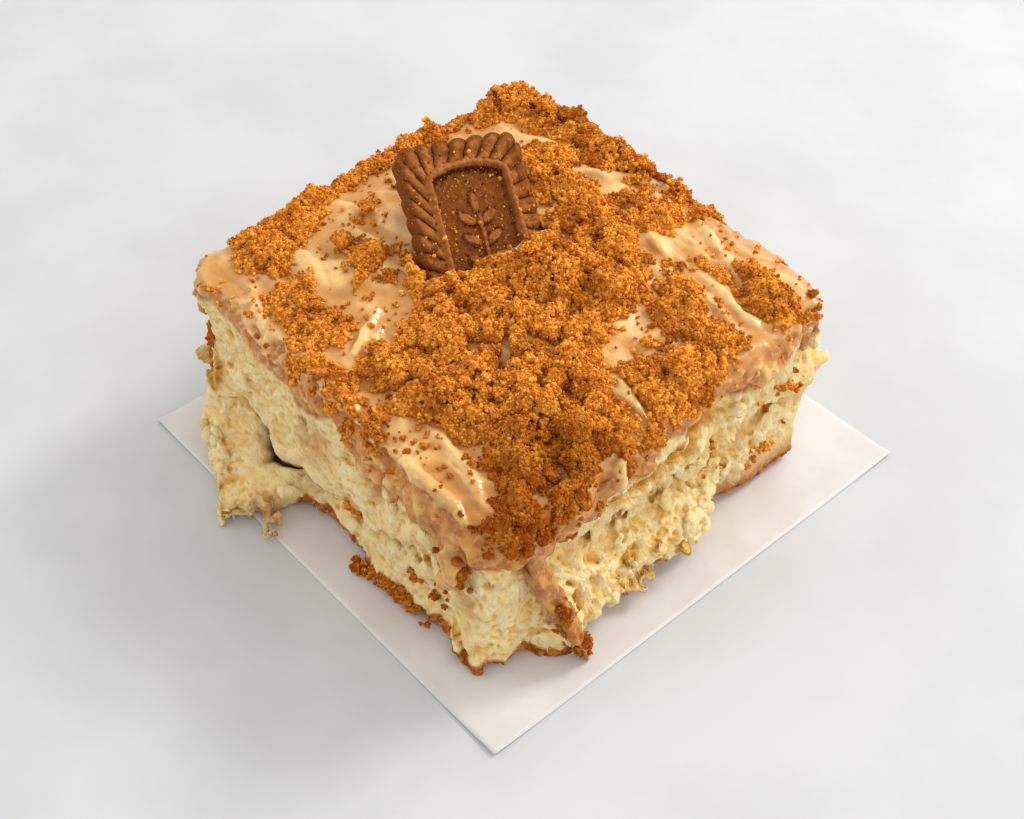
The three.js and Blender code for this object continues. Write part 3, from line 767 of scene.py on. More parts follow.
# The strip and the coat round the near corner are darker, like caramel.
to_strip = np.min([away_from(points, at) for at in chain(strip, [3] * 5)[0]], axis=0)
toward_corner = (points[:, 0] - points[:, 1]) * 0.7 + 4 * rough.swell(points, 7)
caramel = np.maximum(fade(to_strip, 2.5, 6), 0.55 * step(toward_corner, 46, 60))
store(glaze, "caramel", caramel)
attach(glaze, "root")
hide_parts("glaze_coat")
glaze_skin = skin_tree(glaze)
print("glaze stands", round(float(gap.max()), 1), "mm off the bread at most")

# %% [markdown]
# ## The crushed biscuit
# Crumbs fall where the hand scattered them: deep drifts over the middle and towards the near corner, thin
# trails at the rear, and a few strays everywhere. We outline the drifts on the top, scatter grains of mixed
# size in them, pile the grains by how far inside the outline they lie, and melt each drift into one body of
# stuck grains. Strays stay separate grains.
# %% Where crumbs lie
CRUMB_AREAS = [  # outlines on the top in mm, how deep the crumbs lie there in mm, and how closely
    ([(-15, -10), (-11, -5), (-6, -2), (-4, 4), (-3, 12), (-9, 18), (-10, 26), (-4, 32), (4, 33), (12, 28),
      (20, 24), (24, 18), (24, 8), (27, 2), (33, -3), (44, -6), (51, -9), (53, -24), (52, -38), (46, -44),
      (38, -36), (26, -35), (20, -40), (8, -42), (-4, -40), (-6, -34), (-3, -28), (-8, -20), (-15, -16)],
     2.7, 0.78),
    ([(-8, -12), (-9, 4), (-5, 16), (4, 21), (14, 20), (20, 14), (18, 2), (8, -8)], 3.8, 1.0),
    ([(20, -34), (44, -24), (48, -14), (38, -8), (22, -10), (8, -14), (6, -26)], 3.4, 0.82),
    ([(45, -31), (54, -25), (54, -48), (42, -46)], 2.2, 0.85),
    ([(33, -3), (36, 8), (33, 18), (38, 24), (47, 22), (51, 8), (51, -8), (42, -8)], 2.2, 0.78),
    ([(22, 36), (30, 41), (40, 47), (48, 50), (49, 36), (42, 33), (34, 36)], 2.6, 0.82),
    ([(15, 26), (20, 31), (32, 28), (46, 26), (45, 19), (32, 16), (25, 19)], 2.1, 0.78),
    ([(-5, 34), (-3, 44), (10, 46), (13, 38), (6, 32)], 2.0, 0.75),
    ([(-31, 24), (-33, 38), (-26, 43), (-16, 38), (-8, 34), (-10, 26), (-16, 20)], 2.2, 0.8),
    ([(-57, 38), (-49, 32), (-44, 39), (-30, 43), (-16, 42), (-4, 45), (4, 49), (16, 52), (12, 55),
      (-30, 56), (-57, 54)], 3.8, 1.0),
    ([(-59, 36), (-52, 32), (-49, 14), (-52, 4), (-51, -10), (-49, -22), (-54, -30), (-59, -22)], 4.0, 0.97),
    ([(-54, -18), (-47, -16), (-43, -26), (-39, -30), (-37, -37), (-46, -41), (-54, -36)], 2.4, 0.74),
    ([(-31, -14), (-20, -10), (-18, -18), (-22, -26), (-30, -24), (-34, -18)], 1.8, 0.62),
    ([(-33, -30), (-24, -34), (-14, -32), (-11, -38), (-20, -43), (-34, -43)], 2.2, 0.74),
    ([(-26, -46), (-10, -43), (10, -43), (26, -44), (26, -47), (5, -50), (-16, -50)], 1.2, 0.6),
]
BARE_AREAS = [  # glaze that the crumbs missed, or that was dragged over them
    [(13, -38), (22, -36), (30, -37), (38, -39), (42, -45), (40, -51), (18, -51), (11, -45)],
    [(34, 0), (49, -1), (49, -6), (37, -5)],
    [(23, 34), (44, 35), (47, 30), (26, 29)],
    [(-22, 38), (-8, 49), (0, 53), (3, 50), (-6, 45), (-18, 35)],
    [(8, 51), (30, 41), (33, 37), (20, 41), (8, 46)],
    [(26, 10), (30, 13), (31, 9), (28, 7)],
]


def inside_depth(outline, x, y):
    """How far inside an outline each place is, in mm. Outside it is negative."""
    corners = np.array(outline, float)
    nearest = np.full(len(x), 1e9)
    within = np.zeros(len(x), bool)
    for (ax, ay), (bx, by) in zip(corners, np.roll(corners, -1, axis=0)):
        length = max((bx - ax) ** 2 + (by - ay) ** 2, 1e-9)
        t = np.clip(((x - ax) * (bx - ax) + (y - ay) * (by - ay)) / length, 0, 1)
        nearest = np.minimum(nearest, np.hypot(x - ax - t * (bx - ax), y - ay - t * (by - ay)))
        crosses = (ay > y) != (by > y)
        edge_x = ax + (y - ay) * (bx - ax) / np.where(by == ay, 1e-9, by - ay)
        within ^= crosses & (x < edge_x)
    return np.where(within, nearest, -nearest)


def clods(flat, size):
    """Rounded clods about a size apart: 1 at the top of each and 0 between them."""
    return np.sqrt(np.clip(1 - (rough.bubble(flat, size) / 0.66) ** 2, 0, 1))


def on_flat(x, y):
    """Places at height 0, where the noise is read."""
    return np.stack([x, y, np.zeros(len(x))], 1)


def relief(x, y):
    """How high the crumbs are heaped at each place, about 1 where they lie evenly."""
    flat = on_flat(x, y)
    large, small = clods(rough.drift(flat, 5, 2) + 300, 6.5), clods(rough.drift(flat, 3, 1) + 400, 3.2)
    return np.clip(0.15 + 0.95 * large + 0.55 * small + 0.9 * rough.swell(flat + 300, 10), 0.03, 2.3)


def crumb_cover(x, y):
    """How closely crumbs lie at each place, 0 to 1, and how deep, in mm."""
    flat = on_flat(x, y)
    ragged = 1.6 * rough.swell(flat, 6) + 1.1 * rough.swell(flat, 2.6)
    heaped = relief(x, y)
    clumps = 0.7 * heaped - 0.58 + 0.35 * rough.swell(flat + 800, 2.2) + 0.2 * rough.swell(flat + 700, 12)
    cover, deep = np.zeros(len(x)), np.zeros(len(x))
    for outline, depth, close in CRUMB_AREAS:
        inside = inside_depth(outline, x, y) + ragged
        cover = np.maximum(cover, step(inside, -1.6, 1.0) * step(close + clumps, 0.42, 0.62))
        deep = np.maximum(deep, depth * step(inside, -0.5, 6.5))
    for outline in BARE_AREAS:
        cover = cover * (1 - 0.88 * step(inside_depth(outline, x, y) + 0.7 * ragged, -1.0, 1.2))
    return cover, deep * heaped


# Near the crumbs the glaze is specked with dust from them.
glaze_points = points_of(glaze)
dust, _ = crumb_cover(glaze_points[:, 0], glaze_points[:, 1])
store(glaze, "dust", smoothed(dust, edges_of(glaze), 12) * step(glaze_points[:, 2], 34, 44))

drift_names = [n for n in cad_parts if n.startswith("crumb_drift")]
drift_boxes = [box_of(n) for n in drift_names]
drift_middle = np.array([((low + high) / 2)[:2] for low, high in drift_boxes])
drift_half = np.array([((high - low) / 2)[:2] for low, high in drift_boxes])
print("crumb drifts:", len(drift_names))

# %% [markdown]
# Grains fall evenly over the whole top, and each stays only where the crumbs lie closely enough, or as a
# stray. It rests on the glaze below it, raised by a share of the depth there, so that a drift fills up.
# %% Scatter the grains
TOP_FROM = 36  # mm, the glaze below this hangs on the sides and holds no drift


def nearest_drift(places):
    """Which CAD drift each place belongs to. A wide one reaches further than a narrow one."""
    away = (places[:, None, :2] - drift_middle) / np.sqrt(drift_half)
    return np.argmin(np.hypot(away[..., 0], away[..., 1]), axis=1)


low_x, high_x = glaze_low[0] - 1.5, glaze_high[0] + 1.5
low_y, high_y = glaze_low[1], glaze_high[1]
GRAINS = 52000
gx = chance.uniform(low_x, high_x, GRAINS)
gy = chance.uniform(low_y, high_y, GRAINS)
cover, deep = crumb_cover(gx, gy)
stray = 0.02 + 0.05 * step(rough.swell(on_flat(gx, gy) + 500, 12), 0, 0.5)
lands = chance.random(GRAINS)
keep = lands < np.maximum(cover, stray)
loose = keep & (cover < 0.2)
grain_rows = []
for i in np.flatnonzero(keep):
    z = top_of(glaze_skin, gx[i], gy[i])
    if z is not None and z > TOP_FROM:
        radius = float(np.clip(0.39 * chance.lognormal(0, 0.42), 0.25, 1.5))
        radius *= 0.75 if loose[i] else 1
        rise = deep[i] * chance.random() ** 0.4
        grain_rows.append((gx[i], gy[i], z + 0.35 * radius + rise, radius, loose[i]))
grains = np.array(grain_rows, float)
grain_drift = nearest_drift(grains)
print("grains that land:", len(grains), "of them strays:", int(grains[:, 4].sum()))

# %% [markdown]
# A drift of nothing but small grains would be full of holes, so each one also gets a bed: coarser balls
# just under its surface. The strays get uneven half axes, for no crushed biscuit is round.
# %% Melt the drifts


def uneven_axes(radii, seed):
    order = np.random.default_rng(seed)
    along = order.normal(size=(len(radii), 3))
    out = order.normal(size=(len(radii), 3))
    lengths = radii[:, None] * order.uniform(0.7, 1.3, (len(radii), 3))
    return turned_axes(along, out, lengths)


bed_x, bed_y = (v.ravel() for v in np.meshgrid(np.arange(low_x, high_x, 1.3), np.arange(low_y, high_y, 1.3)))
bed_x = bed_x + chance.uniform(-0.4, 0.4, len(bed_x))
bed_y = bed_y + chance.uniform(-0.4, 0.4, len(bed_y))
bed_cover, bed_deep = crumb_cover(bed_x, bed_y)
bed_rows = []
for i in np.flatnonzero((bed_cover > 0.6) & (bed_deep > 0.5)):
    z = top_of(glaze_skin, bed_x[i], bed_y[i])
    if z is not None and z > TOP_FROM:
        for share in np.arange(0.1, 0.6, 0.4):
            bed_rows.append((bed_x[i], bed_y[i], z + share * bed_deep[i], 0.95))
bed = np.array(bed_rows)
bed_drift = nearest_drift(bed)
GRAIN_POINTS = len(ball(0)[0])


def gritty(piece, closeness, seed):
    """The heap with loose fine grit on it, and painted shade kept for its material: dark deep in hollows and
    between clumps, less on the grit.
    """
    order = np.random.default_rng(seed + 40)
    skin, outward = points_of(piece), normals_of(piece)
    dip = 0.5 + 0.4 * hollowness(piece, 6) + 0.55 * hollowness(piece, 50)
    upward = np.flatnonzero((outward[:, 2] > -0.1) & (order.random(len(skin)) < closeness * 0.3 ** 2))
    sizes = np.clip(0.24 * order.lognormal(0, 0.35, len(upward)), 0.13, 0.55)
    middles = skin[upward] + outward[upward] * (0.45 * sizes)[:, None]
    grit_points, grit_faces = blobs(middles, uneven_axes(sizes, seed), 0)
    whole = with_grit(piece, grit_points, grit_faces)
    lighter = np.repeat(dip[upward] - order.uniform(0.0, 0.3, len(upward)), GRAIN_POINTS)
    store(whole, "hollow", np.clip(np.concatenate([dip, lighter]), 0, 1))
    at = points_of(whole)
    # Painted shade: the low ground between clumps is darkened.
    store(whole, "low", step(0.85 - relief(at[:, 0], at[:, 1]), 0.0, 0.75))
    store(whole, "moist", step((at[:, 0] - at[:, 1]) * 0.7 + 8 * rough.swell(at, 9), 30, 60))
    grit_shade = np.repeat(order.random(len(upward)), GRAIN_POINTS)
    store(whole, "shade", np.concatenate([np.full(len(dip), 0.5), grit_shade]))
    return whole


HEAP_CELL, LOOSE_CELL = 0.3, 0.26  # mm
crumb_pieces = []
for k, name in enumerate(drift_names):
    mine = grains[(grain_drift == k) & (grains[:, 4] == 0)]
    under = bed[bed_drift == k]
    heap = blobs(mine[:, :3], uneven_axes(mine[:, 3], k))
    lot = [heap, blobs(under[:, :3], round_axes(under[:, 3]))] if len(under) else [heap]
    piece = build_piece(name.replace("drift", "heap"), *gather(lot))
    fused(piece, HEAP_CELL)
    grit = points_of(piece)
    rise = 0.16 * rough.swell(grit, 0.9) + 0.1 * rough.crest(grit, 0.6) - 0.05
    grit += normals_of(piece) * rise[:, None]
    move_points(piece, grit)
    piece = gritty(piece, 2.6, k)
    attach(piece, "root")
    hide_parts(name)
    crumb_pieces.append(piece)
    print(piece.name, len(mine), "grains,", len(piece.data.polygons), "faces")

# %% [markdown]
# Between the drifts lie larger crumbs, broken pieces of biscuit that stand out of them, and crumbs that
# rolled down and stuck to the sides. They need not touch, so one mesh holds them all.
# %% Loose crumbs and lumps
lump_names = [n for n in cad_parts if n.startswith("crumb_lump")]
strays = grains[grains[:, 4] == 1]
lump_parts = [blobs(strays[:, :3], uneven_axes(strays[:, 3], 90))]
for n in lump_names:
    low, high = box_of(n)
    middle, radius = (low + high) / 2, (high - low).max() / 2
    count = 26
    out = unit(chance.normal(size=(count, 3)))
    sizes = radius * chance.uniform(0.22, 0.5, count)
    places = middle + out * (radius * 0.62) * np.array([1, 1, 0.75]) - np.array([0, 0, radius * 0.15])
    places = np.concatenate([places, [middle - np.array([0, 0, 0.2 * radius])]])
    sizes = np.concatenate([sizes, [radius * 0.75]])
    lump_parts.append(blobs(places, uneven_axes(sizes, 91)))
# Broken pieces of biscuit that stand up out of the drifts: [x, y], radius and height over the glaze in mm.
CHUNKS = [((18.8, 13.2), 4.2, 4.4), ((41, -18.5), 3.3, 3.8), ((47, 0.5), 1.9, 1.0), ((48.5, 11.5), 1.7, 0.8),
          ((28, 27), 2.2, 1.0), ((40, 24), 1.9, 0.8), ((-52, 43), 2.6, 2.4), ((-46, 46), 2.2, 2.2),
          ((-25, 47), 2.0, 1.2), ((11, 48), 1.6, 1.0), ((24, -12), 1.8, 1.6), ((5, -8), 1.8, 1.8),
          ((33, 42), 1.7, 1.0)]
for (x, y), radius, rise in CHUNKS:
    z = top_of(glaze_skin, x, y) + rise
    count = int(60 + 22 * radius ** 2)
    out = chance.normal(size=(count, 3))
    out /= np.abs(out).max(axis=1, keepdims=True) ** 0.6
    out /= np.linalg.norm(out, axis=1, keepdims=True) ** 0.7
    places = np.array([x, y, z]) + out * radius * np.array([0.85, 0.75, 0.6])
    sizes = np.clip(0.42 * chance.lognormal(0, 0.35, count), 0.28, 0.9)
    lump_parts.append(blobs(places, uneven_axes(sizes, 93)))
    core_axes = radius * 0.8 * np.diag([1, 0.9, 0.72])
    lump_parts.append(blobs(np.array([[x, y, z]]), core_axes[None], 2))
# Crumbs stuck to the foot of the front, to the hanging strip and in the tear of the right side.
# Middle, spread along X, Y and Z, both in mm, and how many.
STUCK = [((17, -49.6, 2.2), (7, 1.3, 1.4), 220), ((9, -51.0, 1.2), (3, 1.6, 0.7), 30),
         ((55, -33, 11), (1.2, 1.4, 6), 30), ((57.5, -30, 4), (1.0, 1.0, 2.6), 26),
         ((48, -27, 31), (1.2, 2.2, 1.0), 40), ((-54, -49, 28), (1, 1.4, 4), 60),
         ((39, -49, 29), (3, 1, 5), 70), ((3, -48, 16), (3, 1, 2), 14), ((28, -48, 12), (7, 1, 4), 16),
         ((49, 34, 12), (1, 5, 3), 14), ((50, 40, 30), (2, 4, 3), 16), ((52, 10, 26), (2, 5, 3), 14)]
for middle, spread, count in STUCK:
    places = np.array(middle) + chance.normal(0, 0.6, (count, 3)) * np.array(spread)
    for i, p in enumerate(places):
        near = [t.find_nearest(Vector(p)) for t in (bread_tree, glaze_skin)]
        place, normal, _, _ = min(near, key=lambda found: found[3])
        places[i] = np.array(place + normal * 0.4) if middle[2] > 3 else p
    places[:, 2] = np.maximum(places[:, 2], 0.9)
    sizes = np.clip(0.5 * chance.lognormal(0, 0.4, count), 0.28, 1.3)
    lump_parts.append(blobs(places, uneven_axes(sizes, 92)))
loose_crumbs = build_piece("loose_crumbs", *gather(lump_parts))
fused(loose_crumbs, LOOSE_CELL)
grit = points_of(loose_crumbs)
grit[:, 2] = np.maximum(grit[:, 2], 0.4)
grit += normals_of(loose_crumbs) * (0.12 * rough.swell(grit, 0.8))[:, None]
move_points(loose_crumbs, grit)
loose_crumbs = gritty(loose_crumbs, 2.2, 95)
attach(loose_crumbs, "root")
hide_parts(*lump_names)
crumb_pieces.append(loose_crumbs)
print("loose crumbs:", len(loose_crumbs.data.polygons), "faces")

# %% [markdown]
# ## The whole biscuit
# It is stamped in a mould: a fluted rim, a raised frame with arched ends, and a sunk panel with an ear of
# grain standing up in it. Everything on its face is a height above the panel, so the face is a
# net of points from the outline to the middle, and each point is lifted by one function of its place.
# %% Biscuit outline
across = np.array([0.277, 0.953, -0.121])
across /= np.linalg.norm(across)
lengthways = np.array([-0.728, 0.291, 0.621])
face_out = np.cross(across, lengthways)
face_out /= np.linalg.norm(face_out)
lengthways = np.cross(face_out, across)
BISCUIT_AT = np.array([-8.7, 1.5, 50.0])
HALF_WIDE, HALF_LONG, HALF_THICK = 15.5, 30.5, 3.4
FLUTES, PER_FLUTE = 40, 16


def rounded_loop(half_x, half_y, corner, count):
    """Evenly spaced places round a rectangle with round corners."""
    steps = []
    for cx, cy, start in ((1, 1, 0), (-1, 1, 90), (-1, -1, 180), (1, -1, 270)):
        for a in np.radians(np.linspace(start, start + 90, 24)):
            steps.append((cx * (half_x - corner) + corner * math.cos(a),
                          cy * (half_y - corner) + corner * math.sin(a)))
    steps.append(steps[0])
    steps = np.array(steps)
    run = np.concatenate([[0], np.cumsum(np.hypot(*np.diff(steps, axis=0).T))])
    at = np.linspace(0, run[-1], count, endpoint=False)
    return np.stack([np.interp(at, run, steps[:, 0]), np.interp(at, run, steps[:, 1])], 1)


AROUND = FLUTES * PER_FLUTE
flute = np.abs(np.cos(np.pi * FLUTES * np.arange(AROUND) / AROUND)) ** 0.8
edge_loop = rounded_loop(HALF_WIDE, HALF_LONG, 4.5, AROUND)
edge_loop = edge_loop - unit(edge_loop) * (0.95 * (1 - flute))[:, None]
frame_loop = rounded_loop(HALF_WIDE - 6.2, HALF_LONG - 7.4, 1.5, AROUND)
print("biscuit outline points:", AROUND)

# %% [markdown]
# One function gives the height of the face at any place: the rim with its ribs, the frame's round ridge, the
# panel, and the ear in relief on it. Written this way the parts blend where they meet, as in a real mould.
# %% Heights on the stamped face


def frame_distance(x, y):
    """Distance from the raised frame's line: negative inside the panel."""
    half_x, arch = HALF_WIDE - 6.0, 2.2
    half_y = HALF_LONG - 8.6 + arch * (1 - np.minimum(np.abs(x) / half_x, 1) ** 2)
    corner = 1.2
    qx, qy = np.abs(x) - half_x + corner, np.abs(y) - half_y + corner
    return np.hypot(np.maximum(qx, 0), np.maximum(qy, 0)) + np.minimum(np.maximum(qx, qy), 0) - corner


def grain_ear(x, y):
    """The stamped ear: a stem with pairs of slanting seeds, 1 where it stands and 0 elsewhere."""
    stem = fade(np.abs(x - 0.4 * np.sin(y / 7)), 0.25, 0.75)
    ear = stem * step(y, -20, -18) * fade(y, 11, 13)
    for row, side_sign in product(range(6), (-1, 1)):
        cx, cy, lean = 2.7 * side_sign, -13 + 4.9 * row, math.radians(58) * side_sign
        u = (x - cx) * math.sin(lean) + (y - cy) * math.cos(lean)
        v = (x - cx) * math.cos(lean) - (y - cy) * math.sin(lean)
        ear = np.maximum(ear, fade(np.hypot(u / 2.5, v / 1.15), 0.7, 1.05))
    return np.maximum(ear, fade(np.hypot(x / 1.15, (y - 15) / 2.6), 0.7, 1.05))


def face_height(x, y, inset, ribs):
    """Height above the middle of the biscuit's thickness. inset is the distance in from the edge."""
    frame_line = frame_distance(x, y)
    rim = 0.6 + 1.3 * step(inset, 0, 1.6) + 0.35 * step(inset, 2, 6)
    rib_window = step(inset, 0.1, 1.2) * step(frame_line, 0.6, 1.8)
    ridge = 1.25 * np.exp(-((frame_line / 0.85) ** 2))
    panel = step(-frame_line, 0.1, 1.3)
    return (rim + 0.85 * (ribs - 0.5) * rib_window) * (1 - panel) + 1.45 * panel \
        + ridge * (1 - 0.25 * panel) + 0.75 * panel * grain_ear(x, y)


print("the panel stands", round(float(face_height(np.array([6.0]), np.zeros(1), 12.0, 0.5)[0]), 2), "mm up")

# %% [markdown]
# The face is a net of rings that shrink from the fluted edge to the frame and on to the middle, and the back
# is a plainer one. Joined at the edge and closed at both middles, they make one solid.
# %% Build the biscuit
rings, ring_inset = [], []
RIM_RINGS, PANEL_RINGS = 26, 56
for t in np.linspace(0, 1, RIM_RINGS, endpoint=False):
    rings.append(edge_loop + (frame_loop - edge_loop) * t)
    ring_inset.append(np.full(AROUND, 6.4 * t))
for t in np.linspace(1, 0.02, PANEL_RINGS):
    rings.append(frame_loop * t)
    ring_inset.append(np.full(AROUND, 6.4 + 6 * (1 - t)))
flat_face = np.concatenate(rings)
inset = np.concatenate(ring_inset)
grain_at = on_flat(*flat_face.T)
ribs = np.tile(flute, len(rings)) * (1 + 0.5 * rough.swell(grain_at + 70, 3.5))
lift = face_height(flat_face[:, 0], flat_face[:, 1], inset, ribs)
lift += 0.24 * rough.swell(grain_at, 1.3) + 0.15 * rough.swell(grain_at + 9, 0.6) \
    + 0.35 * rough.swell(grain_at + 90, 14) - 0.35 * fade(rough.bubble(grain_at + 5, 2.1), 0.05, 0.22)
front = np.column_stack([flat_face, lift])
back_rings = []
# How the back's edge is rounded: share of the outline, and height in mm.
BACK_EDGE = ((1.0, 0.0), (1.0, -0.8), (0.998, -1.8), (0.99, -2.6), (0.965, -3.1), (0.92, -3.35),
             (0.85, -HALF_THICK))
for share, z in BACK_EDGE:
    back_rings.append(np.column_stack([edge_loop * share, np.full(AROUND, z)]))
for share in np.linspace(0.78, 0.02, 18):
    back_rings.append(np.column_stack([edge_loop * share, np.full(AROUND, -HALF_THICK)]))
back = np.concatenate(back_rings)
back[:, 2] += 0.1 * rough.swell(back, 2.2) + 0.06 * rough.swell(back, 0.8)
front_rows, back_rows = len(rings), len(back_rings)
net = np.concatenate([back.reshape(back_rows, AROUND, 3)[::-1].reshape(-1, 3), front])
rows = front_rows + back_rows
quads = []
i = np.arange(AROUND)
for r in range(rows - 1):
    a, b = r * AROUND, (r + 1) * AROUND
    quads.append(np.stack([a + i, a + (i + 1) % AROUND, b + (i + 1) % AROUND, b + i], 1))
quads = np.concatenate(quads)
caps = []
for start, flip in ((0, True), ((rows - 1) * AROUND, False)):
    half = AROUND // 2
    for k in range(half - 1):
        cap = [start + k, start + k + 1, start + AROUND - 2 - k, start + AROUND - 1 - k]
        caps.append(cap[::-1] if flip else cap)
quads = np.concatenate([quads, np.array(caps)])
leaning = BISCUIT_AT + net[:, :1] * across + net[:, 1:2] * lengthways + net[:, 2:] * face_out
biscuit = build_piece("stamped_biscuit", leaning, quads)
biscuit.data.shade_smooth()
# Painted shade in the mould's hollows, and a painted highlight on the raised relief, kept for the material.
store(biscuit, "hollow", np.clip(0.5 + 1.2 * hollowness(biscuit, 12), 0, 1))
raised = np.concatenate([np.zeros(len(back)), step(front[:, 2], 1.7, 2.6)])
store(biscuit, "raised", raised)
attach(biscuit, "root")
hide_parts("biscuit")
print("biscuit:", len(biscuit.data.polygons), "faces")

# %% [markdown]
# When it was pushed in, some crumbs stuck to its face, more of them towards its foot.
# %% Crumbs on the biscuit
DUST = 150
dust_x = chance.uniform(-HALF_WIDE + 1, HALF_WIDE - 1, DUST)
dust_y = 28 - 26 * chance.random(DUST) ** 0.6
dust_z = face_height(dust_x, dust_y, np.full(DUST, 4.0), np.full(DUST, 0.6))
dust_at = BISCUIT_AT + dust_x[:, None] * across + dust_y[:, None] * lengthways + dust_z[:, None] * face_out
dust_sizes = np.clip(0.26 * chance.lognormal(0, 0.4, DUST), 0.15, 0.6)
stuck_dust = build_piece("biscuit_dust", *blobs(dust_at, uneven_axes(dust_sizes, 94), 0))
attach(stuck_dust, "root")
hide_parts("biscuit")
store(stuck_dust, "shade", np.repeat(chance.random(DUST), GRAIN_POINTS))
store(stuck_dust, "hollow", np.full(GRAIN_POINTS * DUST, 0.4))
crumb_pieces.append(stuck_dust)
print("crumbs on the biscuit:", DUST)

# %% [markdown]
# ## The parchment
# A square of baking paper lies almost flat, with the faint waves of a sheet that came off a roll. It is a
# sheet with a real edge, so it is a net of points given a paper's thickness by a second layer below.
# %% Parchment sheet
paper_low, paper_high = box_of("parchment")
PAPER_STEPS = 120
px, py = np.meshgrid(np.linspace(paper_low[0], paper_high[0], PAPER_STEPS + 1),
                     np.linspace(paper_low[1], paper_high[1], PAPER_STEPS + 1))
flat = on_flat(px.ravel(), py.ravel())
middle = (paper_low + paper_high) / 2
corner_share = np.prod(np.abs(flat[:, :2] - middle[:2]) / (paper_high - paper_low)[:2] * 2, axis=1)
wave = 0.12 * (1 + rough.swell(flat, 30)) + 0.05 * (1 + rough.swell(flat, 9)) + 0.5 * corner_share ** 6
top_layer = flat + np.array([0, 0, 1]) * (0.18 + wave)[:, None]
low_layer = flat + np.array([0, 0, 1]) * (0.03 + wave)[:, None]
side_count = PAPER_STEPS + 1
index = np.arange(side_count * side_count).reshape(side_count, side_count)
sheet_quads = np.stack([index[:-1, :-1], index[:-1, 1:], index[1:, 1:], index[1:, :-1]], -1).reshape(-1, 4)
rim_loop = np.concatenate([index[0, :-1], index[:-1, -1], index[-1, :0:-1], index[:0:-1, 0]])
rim_next = np.roll(rim_loop, -1)
under = len(flat)
rim_quads = np.stack([rim_loop + under, rim_next + under, rim_next, rim_loop], 1)
parchment = build_piece("parchment_sheet", np.concatenate([top_layer, low_layer]),
                        np.concatenate([sheet_quads, sheet_quads[:, ::-1] + under, rim_quads]))
parchment.data.shade_smooth()
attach(parchment, "root")
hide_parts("parchment")
print("parchment:", len(parchment.data.polygons), "faces")

# %% [markdown]
# ## Writing materials as sums
# Each finish is a recipe: mix this colour with that one by so much of a mask. Written as Python sums it can
# be read, so a small class stands for one output of a node, and its operators add the Math nodes.
# %% A kitchen for shader nodes


class Wire:
    """One value coming out of a node. Sums of wires and numbers add Math nodes."""

    def __init__(self, finish, socket):
        self.finish, self.socket = finish, socket

    def sum(self, operation, first, second):
        return self.finish.node("ShaderNodeMath", {"operation": operation}, {0: first, 1: second})

    def __add__(self, other):
        return self.sum("ADD", self, other)

    def __sub__(self, other):
        return self.sum("SUBTRACT", self, other)

    def __rsub__(self, other):
        return self.sum("SUBTRACT", other, self)

    def __mul__(self, other):
        return self.sum("MULTIPLY", self, other)

    __radd__, __rmul__ = __add__, __mul__

    def between(self, low, high):
        """0 below low, 1 above high, and smooth in between."""
        settings = {"interpolation_type": "SMOOTHSTEP"}
        inputs = {"Value": self, "From Min": low, "From Max": high}
        return self.finish.node("ShaderNodeMapRange", settings, inputs)


class Finish:
    """One material, and the methods that add its nodes."""

    def __init__(self, name, **constants):
        self.material = bpy.data.materials.new(name)
        self.material.use_nodes = True
        self.nodes = self.material.node_tree.nodes
        self.links = self.material.node_tree.links
        self.shader = next(n for n in self.nodes if n.type == "BSDF_PRINCIPLED")
        for socket, value in constants.items():
            self.shader.inputs[socket.replace("_", " ")].default_value = value
        self.place = self.node("ShaderNodeTexCoord", output="Object")

    def node(self, kind, settings=None, inputs=None, output=0):
        """One new node: its type, its settings, and what goes into it. Gives one of its outputs."""
        made = self.nodes.new(kind)
        for name, value in (settings or {}).items():
            setattr(made, name, value)
        for name, value in (inputs or {}).items():
            by_id = [s for s in made.inputs if s.identifier == name]
            socket = by_id[0] if by_id else made.inputs[name]
            if isinstance(value, Wire):
                self.links.new(value.socket, socket)
            elif isinstance(value, tuple) and len(socket.default_value) == 4:
                socket.default_value = (*value, 1)
            else:
                socket.default_value = value
        return Wire(self, made.outputs[output])

    def kept(self, name):
        """A number kept on the mesh's points."""
        return self.node("ShaderNodeAttribute", {"attribute_name": name}, output="Fac")

    def mottle(self, size, detail=3.0, roughness=0.55):
        """Noise from 0 to 1 with patches about size millimetres across."""
        inputs = {"Vector": self.place, "Scale": 1 / (size * MM), "Detail": detail, "Roughness": roughness}
        return self.node("ShaderNodeTexNoise", None, inputs)

    def mixed(self, share, first, second):
        """The first colour where share is 0, the second where it is 1."""
        settings = {"data_type": "RGBA", "clamp_factor": True}
        inputs = {"Factor_Float": share, "A_Color": first, "B_Color": second}
        return self.node("ShaderNodeMix", settings, inputs, output=2)

    def layered(self, colour, *layers):
        """A colour with others laid over it in turn, each by its own mask."""
        for share, over in layers:
            colour = self.mixed(share, colour, over)
        return colour

    def feed(self, **sockets):
        for name, value in sockets.items():
            self.links.new(value.socket, self.shader.inputs[name.replace("_", " ")])

    def bumped(self, height, strength, distance):
        """Bump from a height, distance in millimetres."""
        inputs = {"Height": height, "Strength": strength, "Distance": distance * MM}
        self.feed(Normal=self.node("ShaderNodeBump", None, inputs))

    def paint(self, *pieces):
        for piece in pieces:
            piece.data.materials.clear()
            piece.data.materials.append(self.material)


def tone(red, green, blue):
    """A colour as it is seen on a screen, 0 to 255, turned into the light it stands for."""
    shares = (red / 255, green / 255, blue / 255)
    return tuple(s / 12.92 if s <= 0.04 else ((s + 0.055) / 1.055) ** 2.4 for s in shares)


print("a warm cream as light:", [round(c, 3) for c in tone(240, 226, 175)])
